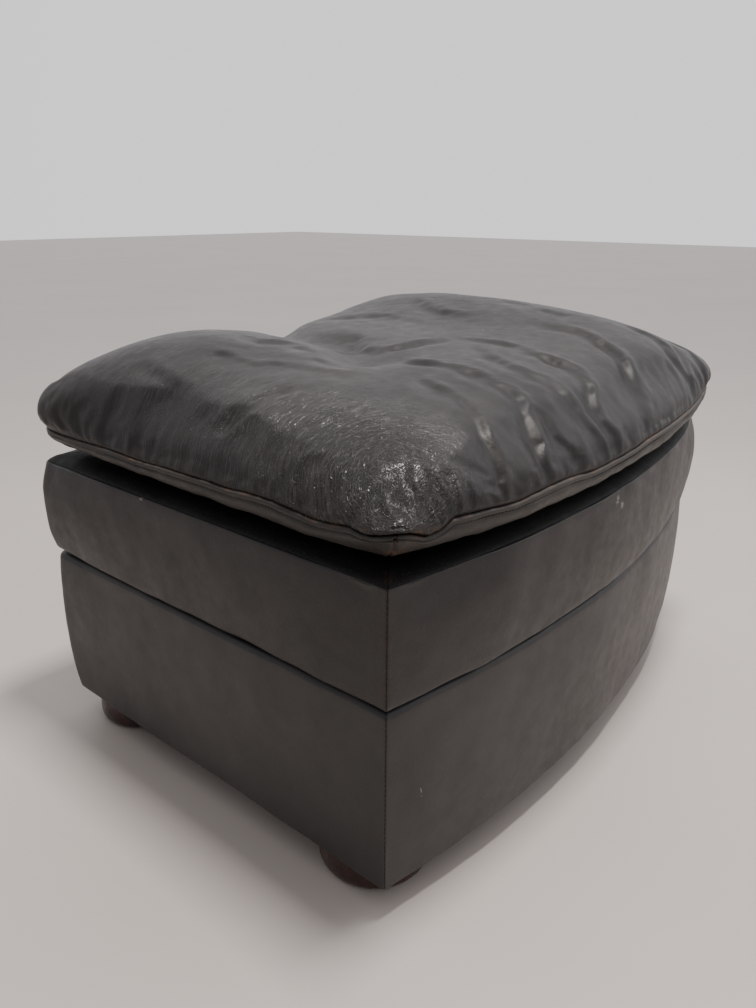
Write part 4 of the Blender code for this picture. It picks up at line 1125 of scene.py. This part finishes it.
def fineWrinkles(piece):
    # small slack wrinkles in the leather itself, too fine for the folds, and where the coat is worn
    points, normals = pointsOf(piece), normalsOf(piece)
    height = (points[:, 2] - cushionSeam) / cushion["rise"]
    slack = waves(points, 0.020, 41, 3)
    setPoints(piece, points + normals * (slack * 0.00028 * smooth(height / 0.2))[:, None])

    def patch(x, y, reach):
        return np.exp(-((points[:, 0] - x) ** 2 + (points[:, 1] - y) ** 2) / reach**2)

    worn = np.zeros(len(points))
    piece.data.attributes["folds"].data.foreach_get("value", worn)
    # worn patches by the near corner and down the left side: glossier and more cracked, so more of the
    # cracks' lighter colour, which is partly painted glint, shows there
    corner = patch(-0.335, -0.212, 0.060)
    worn = worn * 0.10 + corner + 0.75 * patch(-0.330, -0.130, 0.060) + 0.5 * patch(-0.325, -0.02, 0.065)
    worn += 0.35 * patch(-0.31, 0.10, 0.06)
    markPoints(piece, "wear", np.clip(worn, 0, 1))
    # where the creases by the near corner are bumped in and painted dark as shade
    markPoints(piece, "pleats", np.clip(1.1 * patch(-0.312, -0.252, 0.022), 0, 1))
    atCorner = patch(-0.345, -0.245, 0.035)
    markPoints(piece, "rub", np.clip(np.exp(-(height / 0.05) ** 2) * (0.06 + atCorner), 0, 1))


boxing = {
    # in from the seam and above the floor, from the seam down to the fold and in under the cushion
    "rows": [(0.0032, 0.3968), (0.0012, 0.3964), (0.0002, 0.3955), (-0.0002, 0.3942), (-0.0001, 0.3924),
             (0.0005, 0.3913), (0.0010, 0.3906), (0.0004, 0.3898), (0.0000, 0.3884), (0.0002, 0.3862),
             (0.0010, 0.3836), (0.0022, 0.3808), (0.0040, 0.3780), (0.0064, 0.3754), (0.0093, 0.3731),
             (0.0124, 0.3711), (0.0156, 0.3695), (0.0190, 0.3682), (0.0230, 0.3670), (0.0290, 0.3652),
             (0.0360, 0.3632), (0.0430, 0.3614), (0.0520, 0.3608)],
    "thickness": 0.0015,
}


def boxingPath(side, inset):
    # one side of the boxing this far in from the seam: more so along the bow and less so along the back
    plan = {"half": seamPlan["half"] - inset, "back": seamPlan["back"] - 0.75 * inset,
            "bow": seamPlan["bow"] - 1.3 * inset}
    radii = {key: max(value - inset, 0.0008) for key, value in cushion["radii"].items()}
    path = sidePath(seamPlan, side, 0, cushion["radii"])
    length = np.linalg.norm(np.diff(path, axis=0), axis=1).sum()
    fine, middle = stationsAlong(length, fineStations, 0.006)
    return alongPath(sidePath(plan, side, 0, radii), fine, middle)


def makeBoxing():
    rows, corner = [], []
    for inset, z in boxing["rows"]:
        ring, gaps = [], []
        for side in sides:
            row, distance, _ = boxingPath(side, inset)
            ring.append(np.column_stack([row, np.full(len(row), z)])[:-1])
            gaps.append(distance[:-1])
        ring = np.concatenate(ring)
        rows.append(ring)
        corner.append(np.concatenate(gaps))
    count, columns = len(rows), len(rows[0])
    points = np.concatenate(rows)
    corner = np.concatenate(corner)
    drop = np.clip((cushionSeam - points[:, 2]) / 0.030, 0, 1)
    seamX, seamY = np.tile(rows[0][:, 0], count), np.tile(rows[0][:, 1], count)
    points[:, 2] += seamSway(seamX, seamY) * (1 - smooth(drop))
    # the fold is higher toward the back left corner
    lift = 0.0045 * smooth((points[:, 1] + 0.05) / 0.30) * smooth((-0.1 - points[:, 0]) / 0.2)
    lift += 0.0085 * np.exp(-((points[:, 0] + 0.36) ** 2 + (points[:, 1] + 0.245) ** 2) / 0.050**2)
    points[:, 2] += lift * smooth(drop / 0.6) * smooth((1.12 - drop) / 0.3)
    piece = meshPiece("cushion_boxing_leather", points, gridFaces(count, columns, 0, True), "lid",
                      boxingLeather,
                      ["cushion_boxing"])
    outside = pointsOf(piece)
    normals = normalsOf(piece)
    if (normals[:, :2] * outside[:, :2]).sum() < 0:
        flip(piece)
        normals = normalsOf(piece)
    crumple = waves(points * (1, 1, 0.7), 0.018, 51, 2) * 0.0008 + waves(points, 0.06, 52, 2) * 0.0014
    body = smooth(drop / 0.35) * smooth((0.99 - drop) / 0.2 + 0.25)
    groove = np.exp(-(corner / 0.0014) ** 2) * 0.0019
    setPoints(piece, points + normals * (crumple * body - groove)[:, None])
    markPoints(piece, "rub", np.exp(-corner / 0.01) * 0.6 + (1 - smooth(drop / 0.1)) * 0.6)
    markPoints(piece, "wear", np.zeros(len(points)))
    thicken(piece, boxing["thickness"])
    print("cushion boxing made")


# stitching

def stitchRow(name, line, outward, pitch, length, radius, body):
    # separate stitches along a line of points, each a small thread that dips in at both ends
    line, outward = np.array(line), np.array(outward)
    run = np.concatenate([[0], np.cumsum(np.linalg.norm(np.diff(line, axis=0), axis=1))])
    count = int(run[-1] / pitch)
    points, faces = [], []
    around = 6
    for number in range(count):
        start = (number + 0.5) * run[-1] / count
        spots = np.linspace(start - length / 2, start + length / 2, 5)
        centre = np.stack([np.interp(spots, run, line[:, k]) for k in range(3)], 1)
        away = np.stack([np.interp(spots, run, outward[:, k]) for k in range(3)], 1)
        away /= np.linalg.norm(away, axis=1)[:, None]
        along = np.gradient(centre, axis=0)
        along /= np.linalg.norm(along, axis=1)[:, None]
        across = np.cross(along, away)
        lift = np.array([-0.9, 0.35, 0.75, 0.35, -0.9]) * radius
        centre = centre + away * lift[:, None]
        base = len(points)
        for ring in range(5):
            thin = (0.75, 1.0, 1.05, 1.0, 0.75)[ring] * radius
            for step in range(around):
                turn = 2 * math.pi * step / around
                spoke = across[ring] * math.cos(turn) + away[ring] * math.sin(turn)
                points.append(centre[ring] + spoke * thin)
        for ring in range(4):
            for step in range(around):
                a, b = base + ring * around + step, base + ring * around + (step + 1) % around
                faces.append((a, b, b + around, a + around))
        faces.append(tuple(base + step for step in range(around)))
        faces.append(tuple(base + 4 * around + step for step in reversed(range(around))))
    piece = meshPiece(name, points, faces, body, threadMaterial)
    outwards(piece)
    return piece


# feet

foot = {
    "middles": {"front_left": (-0.295, -0.1713), "front_right": (0.295, -0.1713),
                "back_left": (-0.295, 0.2247), "back_right": (0.295, 0.2247)},
    "socket": 0.0043, "top": 0.0367, "bottom": 0.0025, "steps": 72,
    # radius and height of the turned outside, from the top down
    "outline": [(0.0490, 0.0367), (0.0507, 0.0365), (0.0520, 0.0356), (0.0526, 0.0348), (0.0524, 0.0341),
                (0.0532, 0.0336), (0.0549, 0.0327), (0.0560, 0.0310), (0.0567, 0.0280), (0.0573, 0.0240),
                (0.0578, 0.0200), (0.0582, 0.0160), (0.0584, 0.0120), (0.0583, 0.0085), (0.0578, 0.0058),
                (0.0569, 0.0040), (0.0555, 0.0029), (0.0537, 0.0025)],
}


def makeFeet():
    for name, (x, y) in foot["middles"].items():
        profile = [(foot["socket"], foot["top"])] + foot["outline"] + [(foot["socket"], foot["bottom"])]
        points, steps = [], foot["steps"]
        for radius, z in profile:
            for step in range(steps):
                turn = 2 * math.pi * step / steps
                points.append((x + radius * math.cos(turn), y + radius * math.sin(turn), z))
        faces = gridFaces(len(profile), steps, 0, True)
        last = (len(profile) - 1) * steps
        faces += [(last + k, last + (k + 1) % steps, (k + 1) % steps, k) for k in range(steps)]
        piece = meshPiece(f"turned_foot_{name}", points, faces, "box", beech,
                          [f"bun_foot_{name}"])
        outwards(piece)
        piece.data.set_sharp_from_angle(angle=math.radians(50))
    print("feet turned")


# linings and the dust cloth

liningCloth = {"slack": 0.0005, "thickness": 0.0006}


def clothTray(name, plan, body, openZ, closedZ, node):
    # lining down the walls and across the closed end, in from its hem
    up = 1 if openZ > closedZ else -1
    inset = liningInset + 0.0009
    walls = [(0, 0.0), (0, 0.0005), (0.0004, 0.004), (0.0003, 0.0085), (-0.0001, 0.010), (0.0003, 0.0115)]
    depth = abs(openZ - closedZ)
    walls += [(0.0, d) for d in np.arange(0.020, depth - 0.012, 0.009)]
    walls += [(0.0, depth - 0.009), (0.0008, depth - 0.0045), (0.0025, depth - 0.0018),
              (0.0055, depth - 0.0004)]
    rings = [(inset + a, openZ - up * d) for a, d in walls]
    rings += [(inset + a, closedZ) for a in (0.012, 0.025, 0.045, 0.07, 0.10, 0.14, 0.18, 0.215)]
    radii = {key: 0.008 + inset for key in ("fl", "fr", "br", "bl")}
    rows = []
    for inward, z in rings:
        tight = {key: max(value - inward, 0.004) for key, value in radii.items()}
        ring = []
        for side in sides:
            path = sidePath(plan, side, inward, tight)
            row, _, _ = alongPath(path, np.array([0, 0.001, 0.003, 0.006, 0.012]),
                                  np.linspace(0, 1, 60)[1:-1])
            ring.append(row[:-1])
        ring = np.concatenate(ring)
        rows.append(np.column_stack([ring, np.full(len(ring), z)]))
    count, columns = len(rows), len(rows[0])
    points = np.concatenate(rows)
    faces = gridFaces(count, columns, 0, True)
    last = (count - 1) * columns
    faces.append(tuple(range(last, last + columns)))
    piece = meshPiece(name, points, faces, body, lining, [node])
    normals = normalsOf(piece)
    middle = np.array([0, 0, (openZ + closedZ) / 2])
    if (normals * (middle - points)).sum() < 0:
        flip(piece)
        normals = normalsOf(piece)
    # it sags in soft waves, and never into the wood
    slack = np.clip(waves(points * (1, 1, 0.35), 0.09, 61, 2), -1, 0.6) * liningCloth["slack"]
    setPoints(piece, points + normals * slack[:, None])
    thicken(piece, liningCloth["thickness"])


def makeLinings():
    clothTray("storage_box_lining", boxPlan, "box", boxTop - 0.0004, 0.0665, "storage_lining")
    clothTray("lid_inside_lining", lidPlan, "lid", lidBottom + 0.0006, 0.3334, "lid_lining")
    # the dust cloth under the box, turned under at its edge
    rows = []
    for inset, z in ((0.020, 0.0371), (0.0202, 0.0369), (0.024, 0.0368), (0.034, 0.0368), (0.05, 0.0369),
                     (0.09, 0.0370), (0.14, 0.0370), (0.20, 0.0370), (0.255, 0.0370)):
        ring = []
        for side in sides:
            radii = {key: max(0.024 - inset, 0.003) for key in ("fl", "fr", "br", "bl")}
            row, _, _ = alongPath(sidePath(boxPlan, side, inset, radii), np.array([0, 0.002, 0.006, 0.012]),
                                  np.linspace(0, 1, 50)[1:-1])
            ring.append(row[:-1])
        ring = np.concatenate(ring)
        rows.append(np.column_stack([ring, np.full(len(ring), z)]))
    points = np.concatenate(rows)
    count, columns = len(rows), len(rows[0])
    faces = gridFaces(count, columns, 0, True)
    last = (count - 1) * columns
    faces.append(tuple(range(last, last + columns)))
    piece = meshPiece("dust_cloth", points, faces, "box", dustCloth, ["dust_cover"])
    points = pointsOf(piece)
    sag = np.clip(waves(points, 0.09, 66, 2), -1, 0.3) * 0.0016
    clear = np.ones(len(points))
    for x, y in foot["middles"].values():
        clear = np.minimum(clear, smooth((np.hypot(points[:, 0] - x, points[:, 1] - y) - 0.058) / 0.04))
    points[:, 2] += np.minimum(sag, 0) * clear * smooth((insetFromFaces(points) - 0.024) / 0.03)
    setPoints(piece, points)
    if normalsOf(piece)[:, 2].sum() > 0:
        flip(piece)
    thicken(piece, 0.0004)
    print("linings made")


def insetFromFaces(points):
    # about how far in from the box's faces each point is
    side = boxPlan["half"] - np.abs(points[:, 0])
    back = boxPlan["back"] - points[:, 1]
    front = boxPlan["bow"] - np.hypot(points[:, 0], points[:, 1] - bowCentreY)
    return np.minimum(np.minimum(side, back), front)


# the floor, the light and the camera

studio = {
    "world": "#d9d7d8", "dimmest": 0.40, "brightest": 1.66, "floorHalf": 14,
    # each light: place, what it looks at, width and length, power in watts, tint
    "ceiling_light": ((-0.05, -0.35, 2.3), (-0.05, 0.0, 0.3), (0.40, 0.30), 50, "#fffaf4"),
    "room_light": ((1.6, -1.7, 2.1), (0, 0, 0.3), (1.6, 1.2), 9, "#f8f8ff"),
    "lens": 27.509, "eye": (-0.78158, -0.56620, 0.63091), "angles": (21.197, -0.328, 38.915),
}


def makeStudio():
    scene = bpy.context.scene
    mesh = bpy.data.meshes.new("studio_floor")
    size = studio["floorHalf"]
    mesh.from_pydata([(-size, -size, 0), (size, -size, 0), (size, size, 0), (-size, size, 0)], [],
                     [(0, 1, 2, 3)])
    floor = bpy.data.objects.new("studio_floor", mesh)
    scene.collection.objects.link(floor)
    # Glazed porcelain floor without joints: pale and slightly glossy, so it holds a faint reflection.
    material, tree = newMaterial("glazed_porcelain_floor")
    place = addNode(tree, "TexCoord").outputs["Object"]
    cloud = addNode(tree, "TexNoise", None, {"Vector": place, "Scale": perMetre(700), "Detail": 3.0})
    tint = addNode(tree, "ValToRGB", {"ramp": [(0.3, colour("#c6bdb7")), (0.7, colour("#cdc4be"))]},
                   {0: cloud.outputs["Fac"]})
    shader = addNode(tree, "BsdfPrincipled", None, {"Base Color": tint.outputs[0], "Roughness": 0.42})
    finishMaterial(tree, shader)
    mesh.materials.append(material)

    world = bpy.data.worlds.new("studio_world")
    world.use_nodes = True
    # a pale room that is brighter beyond the ottoman's back right corner than at its front left one
    sky = world.node_tree
    look = addNode(sky, "TexCoord").outputs["Generated"]
    facing = addNode(sky, "VectorMath", {"operation": "DOT_PRODUCT"},
                     {0: look, 1: (0.92, 0.38, 0.0)}).outputs["Value"]
    strength = addNode(sky, "MapRange", {"clamp": True}, {
        "Value": facing, "From Min": -0.8, "From Max": 0.8,
        "To Min": studio["dimmest"], "To Max": studio["brightest"]}).outputs[0]
    sky.nodes["Background"].inputs["Color"].default_value = colour(studio["world"])
    sky.links.new(strength, sky.nodes["Background"].inputs["Strength"])
    scene.world = world

    def areaLight(name, place, target, width, power, tint):
        data = bpy.data.lights.new(name, "AREA")
        data.shape = "RECTANGLE"
        data.size, data.size_y = width
        data.energy = power
        data.color = colour(tint)[:3]
        lamp = bpy.data.objects.new(name, data)
        lamp.location = place
        lamp.rotation_euler = (Vector(target) - Vector(place)).to_track_quat("-Z", "Y").to_euler()
        scene.collection.objects.link(lamp)

    areaLight("ceiling_light", *studio["ceiling_light"])
    areaLight("room_light", *studio["room_light"])

    lens = bpy.data.cameras.new("front_left_camera")
    lens.sensor_width = lens.sensor_height = 36
    lens.sensor_fit = "VERTICAL"
    lens.lens = studio["lens"]
    lens.clip_start = 0.01
    camera = bpy.data.objects.new("front_left_camera", lens)
    camera.location = studio["eye"]
    pitch, roll, yaw = (math.radians(angle) for angle in studio["angles"])
    ahead = Vector((math.cos(pitch) * math.cos(yaw), math.cos(pitch) * math.sin(yaw), -math.sin(pitch)))
    right = Vector((math.sin(yaw), -math.cos(yaw), 0))
    down = ahead.cross(right)
    across = right * math.cos(roll) + down * math.sin(roll)
    below = down * math.cos(roll) - right * math.sin(roll)
    turn = Matrix((across, -below, -ahead)).transposed()
    camera.rotation_euler = turn.to_euler()
    scene.collection.objects.link(camera)
    scene.camera = camera
    print("studio ready")


def makeStitching():
    # the second row on the boxing, under its seam: about six stitches to the inch
    ring, outs = [], []
    for side in sides:
        row, _, outward = boxingPath(side, 0.0010)
        height = 0.3906 + seamSway(row[:, 0], row[:, 1]) * (1 - smooth(np.full(len(row), 0.0064 / 0.030)))
        ring.append(np.column_stack([row, height])[:-1])
        outs.append(np.column_stack([outward, np.zeros(len(row))])[:-1])
    ring.append(ring[0][:1])
    outs.append(outs[0][:1])
    stitchRow("boxing_stitches", np.concatenate(ring), np.concatenate(outs), 0.0043, 0.0031, 0.00042, "lid")
    # small stitches that show between the panels at the corners of the lid and the box
    for t, body in ((lidLeather, "lid"), (boxLeather, "box")):
        for number, side in enumerate(sides):
            path = sidePath(t["plan"], side, 0.0004, cornerRadii(t["radii"], 0.0004, 0))
            corner = path[0]
            outward = corner / np.linalg.norm(corner)
            low, high = t["low"] + t["bottomRoll"] + 0.002, t["high"] - t["topRoll"] - 0.002
            heights = np.linspace(low, high, 12)
            line = np.column_stack([np.tile(corner, (12, 1)), heights])
            line = plump(line, t)
            outs = np.tile([outward[0], outward[1], 0], (12, 1))
            stitchRow(f"{body}_corner_stitches_{number + 1}", line, outs, 0.0052, 0.0032, 0.00045, body)
    print("stitching made")


# Countersunk wood screws: a shallow dished head with a cross recess, zinc plated.
def screwHeads(name, places, body, radius):
    # places are a middle on the metal's face and the way the head looks
    points, faces = [], []
    steps = 20
    for middle, look in places:
        middle, look = Vector(middle), Vector(look).normalized()
        first = look.orthogonal().normalized()
        second = look.cross(first)
        rings = [(radius, -0.0002), (radius, 0.00010), (radius * 0.94, 0.00020), (radius * 0.60, 0.00022)]
        base = len(points)
        for ring, up in rings:
            for step in range(steps):
                turn = 2 * math.pi * step / steps
                points.append(middle + (first * math.cos(turn) + second * math.sin(turn)) * ring + look * up)
        # the recess: a cross of four arms, lower than the face
        for step in range(steps):
            turn = 2 * math.pi * step / steps
            arm = 0.42 if step % 5 in (0, 1) else 0.16
            points.append(middle + (first * math.cos(turn) + second * math.sin(turn)) * radius * arm
                          + look * 0.00018)
        for step in range(steps):
            turn = 2 * math.pi * step / steps
            arm = 0.38 if step % 5 in (0, 1) else 0.12
            points.append(middle + (first * math.cos(turn) + second * math.sin(turn)) * radius * arm
                          - look * 0.00015)
        for ring in range(5):
            for step in range(steps):
                a, b = base + ring * steps + step, base + ring * steps + (step + 1) % steps
                faces.append((a, b, b + steps, a + steps))
        faces.append(tuple(base + 5 * steps + step for step in range(steps)))
        faces.append(tuple(base + step for step in reversed(range(steps))))
    piece = meshPiece(name, points, faces, body, zincSteel, smoothed=False)
    outwards(piece)


def makeScrews():
    boxHinge, lidHinge, boxBrackets, lidBrackets = [], [], [], []
    for side in (-1, 1):
        for along in (-0.025, 0.0, 0.025):
            for inward in (0.0085, 0.0165):
                if (along == 0.0) == (inward == 0.0165):
                    x, y = side * 0.190 + along, 0.2913 - 0.0036 - inward - 0.0015
                    boxHinge.append(((x, y, 0.2329), (0, 0, 1)))
                    lidHinge.append(((x, y, 0.2335), (0, 0, -1)))
        for z in (-0.0125, 0.0125):
            boxBrackets.append(((side * 0.3308, 0.193792, 0.093944 + z), (-side, 0, 0)))
            lidBrackets.append(((side * 0.3348, 0.137228, 0.305045 + z), (-side, 0, 0)))
    screwHeads("hinge_screws_box", boxHinge, "box", 0.0030)
    screwHeads("hinge_screws_lid", lidHinge, "lid", 0.0030)
    screwHeads("bracket_screws_box", boxBrackets, "box", 0.0033)
    screwHeads("bracket_screws_lid", lidBrackets, "lid", 0.0033)
    print("screws made")


dressCadNodes()
makeTiers()
makeDeck()
makeCushionTop()
makeBoxing()
makeStitching()
makeFeet()
makeScrews()
makeLinings()
makeStudio()
